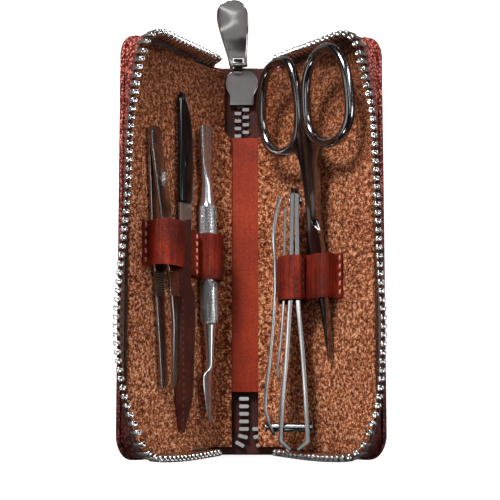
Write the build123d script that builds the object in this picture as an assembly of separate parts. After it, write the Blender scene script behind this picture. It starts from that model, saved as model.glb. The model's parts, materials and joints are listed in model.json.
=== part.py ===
"""Zip-round leather case with a five-piece manicure set, lying open on its spine.

Frame: millimetres, +Z up. The case rests on the middle of its spine at the origin; +Y runs along
the spine to the slider; the left half of the case is at -X and the right half at +X.
Each half is built flat, with u outward from its fold, v along the spine and w off the panel.
"""
import os
from math import cos, degrees, pi, radians, sin

from build123d import *

# ------------------------------------------------------------------ case
CASE_LEN = 132.7           # along the spine
MID_V = -1.15              # middle of the case, a little below the origin
PANEL_W = 48.0             # fold to outer edge
CORNER_R = 8.0
FOLD_X = 12.8              # fold lines either side of the spine's middle
FOLD_Z = 7.5
TILT = {1: 52.5, -1: 57.5}  # how far each half stands up from flat
HIDE_T = 1.4               # outer leather
BOARD_T = 1.0
LINING_T = 1.2
LINING_W0 = HIDE_T / 2 + BOARD_T
LINING_W1 = LINING_W0 + LINING_T
HALF_LEN = CASE_LEN / 2
TOP_V = MID_V + HALF_LEN
LOW_V = MID_V - HALF_LEN
GAP = 0.3                  # clearance between bodies that move past each other

# ------------------------------------------------------------------ zip
TAPE_T = 0.7
TAPE_INSET = 1.2           # middle of the tape wall, in from the panel edge
TOOTH_H = 4.8
TOOTH_W = 2.3
HEAD_L = 1.8               # a head, along the row
LEG_L = 1.2                # the legs below it
TOOTH_PITCH = 2.62
ROW_START = -0.8
ROW_W_SPINE = 3.5          # height of the row of teeth beside the spine
ROW_W_FULL = 9.2           # and along the outer edge
# outward lean of the tape down the long side, as (v, degrees), and its flare along the two ends
LEAN_SIDE = {
    1: [(-66, 3), (-56, 37), (-45, 49), (-28, 55), (-8, 48), (20, 44), (38, 39), (53, 20), (64, 3)],
    -1: [(-66, 3), (-56, 34), (-45, 54), (-28, 65), (-10, 58), (12, 46), (34, 43), (53, 28), (64, 3)],
}
LEAN_CORNER = 3.0
LEAN_SPINE_TOP = 27.0
LEAN_LOW = 4.0
CHAIN_X = -1.6
CHAIN_Z = 3.9
CHAIN_HALF = 2.9
STRIP_Y0, STRIP_Y1 = -46.5, 39.6
STRIP_HALF = 5.9
STRIP_TOP = 6.0
SLIDER_Y0, SLIDER_Y1 = 51.0, 64.0
SLIDER_PLATE_Z = 5.5
PULL_Y = 64.6
PULL_Z = 8.0
PULL_BAR_R = 0.8
PULL_T = 1.8
PULL_RISE = 6.0
PULL_LEAN = 7.0
PULL_X = -2.8

# ------------------------------------------------------------------ tools
TOOL_BASE = LINING_W1 + GAP

os.makedirs("parts", exist_ok=True)


def save(name, *solids):
    """Write one named node."""
    flat = []
    for s in solids:
        flat.extend(s.solids())
    export_step(flat[0] if len(flat) == 1 else Compound(children=flat), f"parts/{name}.step")
    print(name, len(flat), round(sum(s.volume for s in flat), 1))


def put(shape, side):
    """Take a solid built flat in u, v, w to its half of the open case."""
    if side < 0:
        shape = mirror(shape, about=Plane.YZ)
    return Location((side * FOLD_X, 0, FOLD_Z), (0, -side * TILT[side], 0)) * shape


def solid_of(shape):
    """The one solid of a shape that may be a list or a compound."""
    found = sorted(shape.solids(), key=lambda s: s.volume)
    return found[-1]


def polygon(*pts):
    return make_face(Polyline(*pts, close=True))


def ribbon(points, thick, bend=0.5):
    """Face of constant thickness along a run of 2-D points with rounded bends."""
    path = FilletPolyline(*points, radius=bend)
    return trace(path, thick)


def slab(face, w0, w1):
    """Extrude a face lying in the XY plane between two heights."""
    return Pos(0, 0, w0) * extrude(face, w1 - w0)


def along_v(face, v0, v1):
    """Extrude a face drawn in (u, w) along v."""
    raised = Location((0, v1, 0), (90, 0, 0)) * face
    return extrude(raised, v1 - v0, dir=(0, -1, 0))


def panel_face(u0, u1, half_v, r):
    face = Pos((u0 + u1) / 2, MID_V) * Rectangle(u1 - u0, 2 * half_v)
    return fillet(face.vertices().sort_by(Axis.X)[-2:], r)


# ------------------------------------------------------------------ zip row geometry
R_ROW = CORNER_R - TAPE_INSET
U_FLAT = PANEL_W - TAPE_INSET - R_ROW      # where the end side turns into the corner
V_FLAT = HALF_LEN - TAPE_INSET - R_ROW
END_RUN = U_FLAT - ROW_START
ARC = pi * R_ROW / 2
ROW_LEN = 2 * END_RUN + 2 * ARC + 2 * V_FLAT


def row_foot(s):
    """Foot of the tape wall at arc length s from the spine at the +v end: u, v, outward normal."""
    if s < END_RUN:
        return ROW_START + s, MID_V + V_FLAT + R_ROW, 0.0, 1.0
    s -= END_RUN
    if s < ARC:
        a = pi / 2 - s / R_ROW
        return U_FLAT + R_ROW * cos(a), MID_V + V_FLAT + R_ROW * sin(a), cos(a), sin(a)
    s -= ARC
    if s < 2 * V_FLAT:
        return U_FLAT + R_ROW, MID_V + V_FLAT - s, 1.0, 0.0
    s -= 2 * V_FLAT
    if s < ARC:
        a = -s / R_ROW
        return U_FLAT + R_ROW * cos(a), MID_V - V_FLAT + R_ROW * sin(a), cos(a), sin(a)
    s -= ARC
    return U_FLAT - s, MID_V - V_FLAT - R_ROW, 0.0, -1.0


def between(table, x):
    """Value at x of a short table of (x, value) steps, in straight lines between them."""
    if x <= table[0][0]:
        return table[0][1]
    for (x0, y0), (x1, y1) in zip(table, table[1:]):
        if x <= x1:
            t = (x - x0) / (x1 - x0)
            return y0 + (y1 - y0) * t
    return table[-1][1]


def row_lean(s, side):
    """Outward lean of the tape wall there, degrees: slack at mid-side, upright at the corners."""
    u, v, nu, nv = row_foot(s)
    if u >= U_FLAT:
        near = [between(LEAN_SIDE[side], v + step) for step in (-5, -2.5, 0, 2.5, 5)]
        return sum(near) / len(near) if nu > 0.999 else between(LEAN_SIDE[side], v)
    f = max(u - ROW_START, 0) / END_RUN
    flare = LEAN_SPINE_TOP * (1 - f) ** 1.8 if v > 0 else LEAN_LOW * sin(pi * f)
    return flare + LEAN_CORNER * f


def row_height(s):
    """Height of the middle of the teeth above the foot of the wall."""
    u = row_foot(s)[0]
    f = min(max(u - ROW_START, 0) / 38.0, 1.0)
    return ROW_W_SPINE + (ROW_W_FULL - ROW_W_SPINE) * f - HIDE_T / 2


def row_point(s, side, along, across=0.0):
    """A point on the wall: so far up it from its foot, so far across its thickness."""
    u, v, nu, nv = row_foot(s)
    a = radians(row_lean(s, side))
    x = along * sin(a) + across * cos(a)
    w = HIDE_T / 2 + along * cos(a) - across * sin(a)
    return u + nu * x, v + nv * x, w


def tape_wall(side):
    n = 150
    wires = []
    for i in range(n + 1):
        s = ROW_LEN * i / n
        u, v, nu, nv = row_foot(s)
        top = row_height(s) - TOOTH_H / 2 - 0.12
        h = TAPE_T / 2
        corners = [
            (u - nu * h, v - nv * h, HIDE_T / 2),
            (u + nu * h, v + nv * h, HIDE_T / 2),
            row_point(s, side, top, h),
            row_point(s, side, top, -h),
        ]
        wires.append(Wire.make_polygon([Vector(*c) for c in corners], close=True))
    return Solid.make_loft(wires, ruled=True)


def tooth():
    """One tooth on end: legs at -Z clamped round the tape's edge, the thicker head at +Z."""
    half, head, leg = TOOTH_H / 2, HEAD_L / 2, LEG_L / 2
    face = polygon(
        (-leg, -half), (leg, -half), (leg, 0.2), (head, 0.7), (head, 1.9), (head - 0.35, half),
        (0.35 - head, half), (-head, 1.9), (-head, 0.7), (-leg, 0.2))
    upright = Plane(origin=(-TOOTH_W / 2, 0, 0), x_dir=(0, 1, 0), z_dir=(1, 0, 0)).location
    return extrude(upright * face, TOOTH_W)


TOOTH = solid_of(tooth())


def row_of_teeth(side):
    count = int(ROW_LEN / TOOTH_PITCH)
    first = (ROW_LEN - (count - 1) * TOOTH_PITCH) / 2
    out = []
    for i in range(count):
        s = first + i * TOOTH_PITCH
        u, v, nu, nv = row_foot(s)
        a = radians(row_lean(s, side))
        origin = row_point(s, side, row_height(s))
        across = (nu * cos(a), nv * cos(a), -sin(a))
        up = (nu * sin(a), nv * sin(a), cos(a))
        out.append(Plane(origin=origin, x_dir=across, z_dir=up).location * TOOTH)
    print("teeth", count)
    return out


# ------------------------------------------------------------------ spine
def u_section(half, depth, radius, top):
    face = Pos(0, depth + radius + 4) * Rectangle(2 * half, 2 * (radius + 4))
    face = fillet(face.vertices().sort_by(Axis.Y)[:2], radius)
    return face & (Pos(0, top - 20) * Rectangle(80, 40))


SPINE_T = 1.3
SPINE_HALF = FOLD_X + HIDE_T / 2
SPINE_TOP = FOLD_Z - HIDE_T / 2 - GAP
SPINE_R = 6.0
outer = u_section(SPINE_HALF, 0, SPINE_R, SPINE_TOP)
inner = u_section(SPINE_HALF - SPINE_T, SPINE_T, SPINE_R - SPINE_T, SPINE_TOP + 1)
save("spine_leather", along_v(outer - inner, LOW_V, TOP_V))

STRIP_T = 0.7
strip_out = polygon(
    (-STRIP_HALF - 0.5, SPINE_T), (STRIP_HALF + 0.5, SPINE_T), (STRIP_HALF + 0.5, 4.6),
    (STRIP_HALF, STRIP_TOP), (-STRIP_HALF, STRIP_TOP), (-STRIP_HALF - 0.5, 4.6))
strip_out = fillet(strip_out.vertices().group_by(Axis.Y)[-1], 0.8)
strip_in = polygon(
    (-STRIP_HALF + 0.2, 0), (STRIP_HALF - 0.2, 0), (STRIP_HALF - 0.2, 4.5),
    (STRIP_HALF - 0.6, STRIP_TOP - STRIP_T), (0.6 - STRIP_HALF, STRIP_TOP - STRIP_T),
    (0.2 - STRIP_HALF, 4.5))
save("spine_strip", along_v(strip_out - strip_in, STRIP_Y0, STRIP_Y1))

CHAIN_Y0 = 31.0
CHAIN_Y1 = SLIDER_Y0 - 0.5
TAPE_Z = (CHAIN_Z - 0.3, CHAIN_Z + 0.3)
tape = []
for sign in (-1, 1):
    x_in = CHAIN_X + sign * 2.0
    x_strip = sign * (STRIP_HALF - 0.4)
    x_out = sign * 9.3
    tape.append(slab(polygon(
        (x_in, CHAIN_Y0), (x_in, CHAIN_Y1), (CHAIN_X + sign * 1.9, CHAIN_Y1 + 1),
        (CHAIN_X + sign * 1.9, TOP_V - 1.0), (x_out, TOP_V - 1.0), (x_out, STRIP_Y1 + 0.3),
        (x_strip, STRIP_Y1 + 0.3), (x_strip, CHAIN_Y0)), *TAPE_Z))
save("chain_tape", *tape)


closed = []
n_closed = int((CHAIN_Y1 - CHAIN_Y0) / (TOOTH_PITCH / 2))
for i in range(n_closed):
    y = CHAIN_Y1 - 0.8 - i * TOOTH_PITCH / 2
    sign = 1 if i % 2 == 0 else -1
    bar = Pos(CHAIN_X + sign * 1.35, y, CHAIN_Z) * Box(2.7, 1.1, 2.2)
    bar = chamfer(bar.edges().filter_by(Axis.Y), 0.25)
    tape_slot = Pos(CHAIN_X + sign * 2.4, y, CHAIN_Z) * Box(0.9, 2, 0.62)
    closed.append(solid_of(bar - tape_slot))
save("closed_chain_teeth", *closed)
stop_y = CHAIN_Y1 - 0.8 - n_closed * TOOTH_PITCH / 2 - 1.2
stop_bar = Pos(CHAIN_X, stop_y, CHAIN_Z) * Box(6.0, 2.6, 2.2)
stop_bar = fillet(stop_bar.edges().filter_by(Axis.Z), 0.6)
save("closed_end_stop", stop_bar - Pos(CHAIN_X, stop_y + 0.6, CHAIN_Z) * Box(9, 2.0, 0.62))

# the two ends of the rows come out again under the low end of the strip
END_LEFT_X, END_RIGHT_X = -0.8, 3.4
END_TOP_Y = -48.8
end_teeth = []
for i in range(7):
    y = END_TOP_Y - i * 2.5
    bend = max(i - 4, 0)
    tooth_l = Pos(END_LEFT_X - 0.35 * bend ** 2, y, CHAIN_Z) * Rot(0, 0, -14 * bend) * Box(3.2, 1.2, 2.2)
    end_teeth.append(chamfer(tooth_l.edges().filter_by(Axis.Z), 0.25))
    if i > 3:
        tooth_r = Pos(END_RIGHT_X + 0.3 * bend ** 2, y, CHAIN_Z) * Rot(0, 0, 14 * bend) * Box(2.8, 1.2, 2.2)
        end_teeth.append(chamfer(tooth_r.edges().filter_by(Axis.Z), 0.25))
save("zip_end_teeth", *[solid_of(t) for t in end_teeth])

END_TAPE_Z = (CHAIN_Z - 1.9, CHAIN_Z - 1.1)
save("zip_end_tape", slab(polygon(
    (-9.0, LOW_V + 0.6), (9.0, LOW_V + 0.6), (9.0, STRIP_Y0 - 0.3), (STRIP_HALF - 0.6, STRIP_Y0 - 0.3),
    (STRIP_HALF - 0.6, STRIP_Y0 + 8), (0.6 - STRIP_HALF, STRIP_Y0 + 8), (0.6 - STRIP_HALF, STRIP_Y0 - 0.3),
    (-9.0, STRIP_Y0 - 0.3)), *END_TAPE_Z))
stops = []
for x in (END_LEFT_X, END_RIGHT_X):
    stop = Pos(x, END_TOP_Y + 4.4, CHAIN_Z) * Box(3.0, 2.4, 2.2)
    stops.append(chamfer(stop.edges().filter_by(Axis.Z), 0.4))
save("open_end_stops", *[solid_of(s) for s in stops])

# ------------------------------------------------------------------ slider and puller
PLATE_R = 5.55
NECK = 4.15
slider_mid_y = SLIDER_Y1 - PLATE_R


def slider_outline(grow=0.0):
    bulb = Pos(CHAIN_X, slider_mid_y) * Circle(PLATE_R + grow)
    neck = polygon(
        (CHAIN_X - NECK - grow, SLIDER_Y0 - grow), (CHAIN_X + NECK + grow, SLIDER_Y0 - grow),
        (CHAIN_X + NECK + grow, SLIDER_Y0 + 3.4), (CHAIN_X + PLATE_R * 0.94 + grow, slider_mid_y - 1.6),
        (CHAIN_X - PLATE_R * 0.94 - grow, slider_mid_y - 1.6), (CHAIN_X - NECK - grow, SLIDER_Y0 + 3.4))
    return bulb + neck


PLATE_T = 0.9
channel_half = CHAIN_HALF + 0.35
top_plate = slab(slider_outline(), SLIDER_PLATE_Z, SLIDER_PLATE_Z + PLATE_T)
low_plate = slab(slider_outline(), CHAIN_Z - 1.45 - PLATE_T, CHAIN_Z - 1.45)
rim = slider_outline() - slider_outline(-0.75)
mouth = Pos(CHAIN_X, SLIDER_Y0) * Rectangle(2 * channel_half - 0.2, 4)
flare = Pos(CHAIN_X, SLIDER_Y1) * Rectangle(8.6, 8)
rim = rim - mouth - flare
flange_up = slab(rim, CHAIN_Z + 0.6, SLIDER_PLATE_Z)
flange_down = slab(rim, CHAIN_Z - 1.45, CHAIN_Z - 0.6)
post = slab(polygon(
    (CHAIN_X, SLIDER_Y1 - 4.3), (CHAIN_X + 1.2, SLIDER_Y1 - 2.2), (CHAIN_X + 0.7, SLIDER_Y1 - 0.5),
    (CHAIN_X - 0.7, SLIDER_Y1 - 0.5), (CHAIN_X - 1.2, SLIDER_Y1 - 2.2)), CHAIN_Z - 1.45, SLIDER_PLATE_Z)
slider = top_plate + low_plate + flange_up + flange_down + post
save("slider_body", solid_of(slider))

EYE_R = 2.1
EYE_HALF = 1.5
eye = Location((PULL_X - EYE_HALF, PULL_Y, PULL_Z), (0, 90, 0)) * (
    Circle(EYE_R) - Circle(PULL_BAR_R + 0.08))
eye = extrude(eye, 2 * EYE_HALF, dir=(1, 0, 0))
eye_foot = Pos(PULL_X, PULL_Y - 1.6, SLIDER_PLATE_Z + PLATE_T + 0.6) * Box(2 * EYE_HALF, 2.6, 1.2)
eye_hole = Pos(PULL_X, PULL_Y, PULL_Z) * Rot(0, 90, 0) * Cylinder(PULL_BAR_R + 0.08, 8)
below = Pos(PULL_X, SLIDER_Y1 - 5, SLIDER_PLATE_Z + PLATE_T - 5) * Box(20, 20, 10)
save("slider_crown", solid_of(eye + eye_foot - eye_hole - below))

# the puller, drawn flat from its bar at the origin toward +Y
ARM_IN = EYE_HALF + 0.35
PULL_TIP = 22.2
pull_outline = make_face([
    Line((-ARM_IN - 1.2, -PULL_BAR_R), (ARM_IN + 1.2, -PULL_BAR_R)),
    Spline((ARM_IN + 1.2, -PULL_BAR_R), (3.9, 6.0), (5.35, 14.5), (5.4, 17.5), (4.3, 20.5),
           (0, PULL_TIP)),
    Spline((0, PULL_TIP), (-4.3, 20.5), (-5.4, 17.5), (-5.35, 14.5), (-3.9, 6.0),
           (-ARM_IN - 1.2, -PULL_BAR_R)),
])
pull = slab(pull_outline, -PULL_T / 2, PULL_T / 2)
slot = Pos(0, (EYE_R + 0.4 - PULL_BAR_R) / 2 - 0.4, 0) * Box(2 * ARM_IN, EYE_R + 0.4 + PULL_BAR_R + 0.8, 6)
pull = fillet(pull.edges().group_by(Axis.Z)[-1], 0.5)
pull = Location((0, 0, 0), (0, 0, PULL_LEAN)) * pull
pull = solid_of(pull - slot)
bar = Rot(0, 90, 0) * Cylinder(PULL_BAR_R, 2 * ARM_IN + 1.2)
pull = pull + bar
pull_at = Location((PULL_X, PULL_Y, PULL_Z), (PULL_RISE, 0, 0)) * pull
save("puller", solid_of(pull_at))

# ------------------------------------------------------------------ the two halves
LINING_U0 = -3.0
ROW_NOTCH = 12.0           # the lining stops short of the low teeth beside the spine
for side, name in ((-1, "left"), (1, "right")):
    hide = panel_face(0, PANEL_W, HALF_LEN, CORNER_R)
    cover = slab(hide, -HIDE_T / 2, HIDE_T / 2)
    cover += Location((0, TOP_V, 0), (90, 0, 0)) * extrude(Circle(HIDE_T / 2), CASE_LEN)
    save(f"{name}_cover", put(solid_of(cover), side))
    save(f"{name}_board", put(solid_of(slab(panel_face(2, PANEL_W - 2.2, HALF_LEN - 2.2, 5.8),
                                            HIDE_T / 2, LINING_W0)), side))
    in_tape = TAPE_INSET + TAPE_T / 2 + 0.2
    lining = slab(panel_face(LINING_U0, PANEL_W - in_tape, HALF_LEN - in_tape, CORNER_R - in_tape),
                  LINING_W0, LINING_W1)
    for end in (-1, 1):
        lining -= Pos(ROW_NOTCH - 20, MID_V + end * (HALF_LEN - 2.9 + 10), LINING_W1) * Box(40, 20, 6)
    save(f"{name}_lining", put(solid_of(lining), side))
    save(f"{name}_zip_tape", put(tape_wall(side), side))
    save(f"{name}_teeth", *[put(t, side) for t in row_of_teeth(side)])


# ------------------------------------------------------------------ straps and sheath
STRAP_T = 0.7
FLAT_W = LINING_W1 + STRAP_T / 2 + 0.02


def stitches(u, w, v0, v1, count, lean_w=0.0):
    """A row of short round stitches lying on leather, along v."""
    out = []
    step = (v1 - v0) / count
    for i in range(count):
        v = v0 + (i + 0.5) * step
        pill = Rot(90, 0, 0) * Cylinder(0.28, step * 0.45)
        out.append(Pos(u, v, w + lean_w * (v - v0)) * solid_of(pill))
    return out


def strap(points, v_start, v_end):
    """A strap standing in loops: thickness line in (u, w), ends slanting from v_start to v_end."""
    u_a, u_b = -2, 46
    long = along_v(ribbon(points, STRAP_T), -20, 8)
    trim = slab(polygon((u_a, v_start[0]), (u_b, v_end[0]), (u_b, v_end[1]), (u_a, v_start[1])), 0, 30)
    return solid_of(long & trim)


left_line = [
    (40.8, FLAT_W), (38.2, FLAT_W), (38.6, 5.2), (41.2, 8.6), (40.4, 12.0), (36.2, 13.7),
    (31.6, 12.6), (28.8, 7.6), (25.6, 7.1), (20.0, 7.1), (15.9, 7.3), (15.1, FLAT_W),
    (13.1, FLAT_W), (13.1, 6.4), (12.6, 9.6), (9.4, 10.5), (5.9, 10.0),
    (4.9, 6.8), (4.6, FLAT_W), (1.6, FLAT_W)]
save("left_strap", put(strap(left_line, (3.9, -11.1), (6.5, -7.6)), -1))
right_line = [
    (12.2, FLAT_W), (8.9, FLAT_W), (8.7, 8.8), (11.4, 11.3), (14.5, 13.9), (16.8, 16.0),
    (20.4, 16.7), (22.6, 15.4), (23.95, 12.18), (13.22, FLAT_W), (14.9, FLAT_W),
    (22.75, 10.15), (29.6, 9.9), (31.0, 8.2), (30.7, FLAT_W), (33.0, FLAT_W)]
save("right_strap", put(strap(right_line, (-4.9, -18.7), (-2.6, -16.6)), 1))


# ------------------------------------------------------------------ stitches
def thread(u, v0, v1, count, w, slope=0.0):
    """A row of short round stitches lying on leather, along v."""
    step = (v1 - v0) / count
    out = []
    for i in range(count):
        v = v0 + (i + 0.5) * step
        out.append(Location((u + slope * (v - v0), v, w), (90, 0, 0)) * Cylinder(0.3, step * 0.45))
    return [solid_of(t) for t in out]


ON_STRAP = FLAT_W + STRAP_T / 2 + 0.3
save("left_strap_thread", *[put(t, -1) for t in
                            thread(39.7, -7.4, 6.0, 5, ON_STRAP) + thread(2.2, -10.6, 3.4, 5, ON_STRAP)])
save("right_strap_thread", *[put(t, 1) for t in
                             thread(32.9, -16.8, -3.4, 5, ON_STRAP) + thread(12.2, -18.2, -5.4, 5, ON_STRAP)])

# ------------------------------------------------------------------ nail file and its sheath
FILE_TURN = 0.0
FILE_AT = (20.5, 13.8)
HANDLE_W0, HANDLE_W1 = 3.6, 6.3
BLADE_W0, BLADE_W1 = 4.45, 5.35
FILE_LEN = 68.0


def on_file(shape):
    return Location((FILE_AT[0], FILE_AT[1], 0), (0, 0, FILE_TURN)) * shape


HANDLE_HALF = 3.6
handle_face = make_face([
    Line((-HANDLE_HALF + 0.6, 0), (HANDLE_HALF - 0.6, 0)),
    Spline((HANDLE_HALF - 0.6, 0), (HANDLE_HALF, 3), (HANDLE_HALF, 17),
           (3.1, 29), (1.9, 34.6), (0, 36.4)),
    Spline((0, 36.4), (-1.9, 34.6), (-3.1, 29),
           (-HANDLE_HALF, 17), (-HANDLE_HALF, 3), (0.6 - HANDLE_HALF, 0)),
])
handle = slab(handle_face, HANDLE_W0, HANDLE_W1)
handle = fillet(handle.edges().group_by(Axis.Z)[-1] + handle.edges().group_by(Axis.Z)[0],
                0.36 * (HANDLE_W1 - HANDLE_W0))
blade_pts = [(-2.4, 14), (2.4, 14), (3.1, -2), (3.0, -30), (2.0, -52), (0.7, -66), (0, -FILE_LEN),
             (-0.7, -66), (-2.0, -52), (-3.0, -30), (-3.1, -2)]
blade = slab(polygon(*blade_pts), BLADE_W0, BLADE_W1)
save("nail_file_handle", put(on_file(solid_of(handle - blade)), -1))
save("nail_file_blade", put(on_file(solid_of(blade)), -1))

SHEATH_T = 0.7
SHEATH_AT = FILE_AT[0]


def sheath_face(inset):
    top = 6.4 + (1.0 if inset else 0.0)
    half = 4.3 - inset
    return Pos(SHEATH_AT, 0) * polygon(
        (-half, top - 1.4), (half, top + 0.4), (half, 0), (4.2 - inset, -30), (3.1 - inset, -50),
        (0.3 if inset else 0.8, -59.5 + inset * 2.6), (-0.3 if inset else -0.8, -59.5 + inset * 2.6),
        (-3.1 + inset, -50), (-4.2 + inset, -30), (-half, 0))


sheath = slab(sheath_face(0), LINING_W1, BLADE_W1 + GAP + SHEATH_T)
sheath -= slab(sheath_face(0.75), BLADE_W0 - GAP, BLADE_W1 + GAP)
save("file_sheath", put(solid_of(sheath), -1))
sheath_top = BLADE_W1 + GAP + SHEATH_T
seam = []
for sign in (-1, 1):
    for i in range(17):
        v = 3.2 - i * 3.6
        half = 3.75 if v > -30 else 3.75 - (-30 - v) * 0.055
        if v < -49:
            half = 2.7 - (-49 - v) * 0.24
        tilt = degrees(0.03 if v > -49 else 0.26)
        stitch = Rot(0, 0, -sign * tilt) * Location((0, 0, 0), (90, 0, 0)) * Cylinder(0.22, 2.3)
        if half > 0.8 and v < -12:
            seam.append(solid_of(Pos(SHEATH_AT + sign * half, v, sheath_top + 0.22) * stitch))
save("sheath_thread", *[put(t, -1) for t in seam])

# ------------------------------------------------------------------ cuticle tool
CUT_R = 2.9
CUT_W = TOOL_BASE + CUT_R
CUT_TURN = -2.0
CUT_AT = (9.1, 0)
profile = [(0, 28.5), (1.3, 28.0), (1.6, 22), (2.2, 16.5), (2.5, 14.4), (CUT_R, 14.0), (CUT_R, 4.0),
           (2.55, 3.6), (2.55, -10.6), (CUT_R, -11.0), (CUT_R, -24.2), (2.3, -24.8), (1.8, -29),
           (1.3, -36), (1.1, -40), (0, -40.2)]
shaft_face = Location((0, 0, 0)) * polygon(*profile)
shaft = revolve(shaft_face, Axis.Y)
for y0, y1 in ((4.0, 14.0), (-24.2, -11.0)):
    count = int((y1 - y0) / 1.1)
    for i in range(count):
        y = y0 + (i + 0.5) * (y1 - y0) / count
        ring = Circle(CUT_R + 1) - Circle(CUT_R - 0.18)
        shaft -= Location((0, y + 0.14, 0), (90, 0, 0)) * extrude(ring, 0.28)
paddle_face = polygon((-1.3, 23), (1.3, 23), (2.5, 30), (2.9, 40.9), (-2.9, 40.4), (-2.5, 30))
paddle_face = fillet(paddle_face.vertices(), 0.6)
paddle = slab(paddle_face, -0.7, 0.5)
knife_face = make_face([
    Spline((1.0, -37), (2.6, -40.0), (4.0, -42.5), (3.6, -47), (2.4, -52.5), (0.3, -57.2)),
    Spline((0.3, -57.2), (-0.8, -52), (-1.3, -45), (-1.0, -37)),
    Line((-1.0, -37), (1.0, -37)),
])
knife = slab(knife_face, -0.5, 0.5)
cuticle = solid_of(shaft + paddle + knife)
save("cuticle_tool", put(Location((CUT_AT[0], CUT_AT[1], CUT_W), (0, 0, CUT_TURN)) * cuticle, -1))

# ------------------------------------------------------------------ tweezers
TWEEZER_AT = (34.1, 0, LINING_W1 + 0.95)
TWEEZER_TURN = -4.5
TWEEZER_T = 1.1
TWEEZER_JOIN = 30.8        # below this the two leaves part


def on_tweezers(shape):
    """From (v along, rise off the panel, across) to the tweezers' place on the left half."""
    return Location(TWEEZER_AT, (0, 0, TWEEZER_TURN)) * (Rot(0, -90, 0) * shape)


def leaf_outline(half_top, half_mid, half_tip, v_top, v_tip, slant):
    """Plan of a leaf across its width, drawn in (v, across) and standing through its thickness."""
    pts = [(v_top, -half_top * 0.5), (v_top, half_top * 0.5), (v_top - 2, half_top),
           (v_top - 30, half_mid), (v_tip + 18, half_tip), (v_tip + slant, half_tip),
           (v_tip, -half_tip), (v_tip + 18, -half_tip), (v_top - 30, -half_mid),
           (v_top - 2, -half_top)]
    face = Plane(origin=(-20, 0, 0), x_dir=(0, 1, 0), z_dir=(1, 0, 0)).location * polygon(*pts)
    return extrude(face, 40)


def bent_leaf(points, thick, outline):
    face = ribbon(points, thick, 40.0)
    return solid_of(slab(face, -12, 12) & outline)


tweezer_plan = leaf_outline(2.7, 2.9, 1.9, 36.4, -46.2, 1.6)
lower_leaf = bent_leaf([(0, 37), (0, -14), (0.5, -46.5)], TWEEZER_T, tweezer_plan)
LEAF_STEP = TWEEZER_T + 0.04
upper_leaf = bent_leaf([(LEAF_STEP, 37), (LEAF_STEP, TWEEZER_JOIN), (5.4, -6), (6.2, -24), (4.8, -46.5)],
                       TWEEZER_T, tweezer_plan)
welded_end = Pos(0, TWEEZER_JOIN + 25, 0) * Box(30, 50, 30)
save("tweezers_leaf", put(on_tweezers(solid_of(lower_leaf + (
    slab(Pos(LEAF_STEP / 2, TWEEZER_JOIN + 3.6) * Rectangle(LEAF_STEP + TWEEZER_T, 7.2), -12, 12)
    & tweezer_plan))), -1))
save("tweezers_arm", put(on_tweezers(solid_of(upper_leaf - welded_end)), -1))

# ------------------------------------------------------------------ scissors
SCI_TILT = 5.4
SCI_AT = (0, 3.0, 8.4)
SCI_T = 2.4
PIVOT = (26.3, -8.0)


def on_scissors(shape):
    return Location(SCI_AT, (SCI_TILT, 0, 0)) * shape


def flat_v(v):
    """Drawing height of a point seen at v, measured from the tilted sheet's own origin."""
    return (v - SCI_AT[1]) / cos(radians(SCI_TILT))


def loop_rod(points):
    pts = [(u, flat_v(v)) for u, v in points]
    path = Spline(*pts, periodic=True)
    halves = []
    for a, b in ((0.0, 0.5), (0.5, 1.0)):
        run = path.trim(a, b)
        halves.append(solid_of(sweep(Plane(origin=run @ 0, z_dir=run % 0) * Circle(1.6), path=run)))
    ring = solid_of(halves[0] + halves[1])
    print("loop rod", round(ring.volume, 1))
    return ring


def in_plan(points, t0, t1):
    return slab(polygon(*[(u, flat_v(v)) for u, v in points]), t0, t1)


left_loop = loop_rod([(15.9, 60.6), (6.8, 57.2), (3.9, 48.6), (3.9, 39.5), (7.0, 33.4), (12.5, 30.9),
                      (18.6, 32.6), (22.2, 39.5), (22.6, 47.2), (21.4, 54.7)])
right_loop = loop_rod([(37.9, 60.1), (30.9, 57.4), (27.2, 51.5), (26.3, 45.1), (26.6, 38.0),
                       (29.8, 32.9), (35.2, 30.7), (41.2, 31.6), (45.9, 36.6), (46.8, 44.2),
                       (45.7, 52.4), (42.5, 57.8)])
SPLIT = 0.08
SPLIT_U = 25.7
left_shank = in_plan([(18.4, 33.4), (22.6, 36.5), (24.36, 41.0), (24.9, 36.0), (SPLIT_U - SPLIT, 28.0),
                      (SPLIT_U - SPLIT, 7.8), (23.3, 5.2), (23.7, 9.6), (23.2, 17.8), (22.3, 25.9),
                      (20.5, 29.6), (15.5, 29.6)], -SCI_T / 2, SCI_T / 2)
right_shank = in_plan([(24.56, 41.0), (27.6, 35.0), (33.4, 31.6), (31.5, 29.2), (29.8, 25.6),
                       (28.6, 15.0), (27.9, 4.8), (SPLIT_U + SPLIT, 7.8),
                       (SPLIT_U + SPLIT, 28.0), (25.1, 36.0)], -SCI_T / 2, SCI_T / 2)
LAP = 0.03
blade_a = in_plan([(23.7, 9.0), (SPLIT_U - SPLIT, 9.0), (SPLIT_U - SPLIT, 7.5), (28.9, 3.4), (29.8, -4.0),
                   (29.8, -18.0), (29.2, -30.0), (28.6, -37.2), (27.9, -30.0), (26.5, -18.0),
                   (24.5, -10.0), (22.7, -4.0), (22.9, 2.0)], LAP, SCI_T / 2)
blade_b = in_plan([(28.3, 6.0), (28.9, -4.0), (28.9, -18.0), (28.8, -30.0), (28.4, -36.8),
                   (26.8, -30.0), (25.0, -18.0), (22.4, -10.0), (21.0, -4.0), (21.2, 1.0),
                   (23.2, 5.0), (SPLIT_U + SPLIT, 7.2), (SPLIT_U + SPLIT, 9.0)], -SCI_T / 2, -LAP)
screw_hole = Pos(PIVOT[0], flat_v(PIVOT[1]), 0) * Cylinder(1.25, 12)
side_a = left_loop + left_shank + blade_a
side_b = right_loop + right_shank + blade_b
over_b = in_plan([(22.0, 7.6), (29.0, 7.6), (29.0, 4.0), (22.0, 4.0)], LAP, SCI_T)
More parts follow.
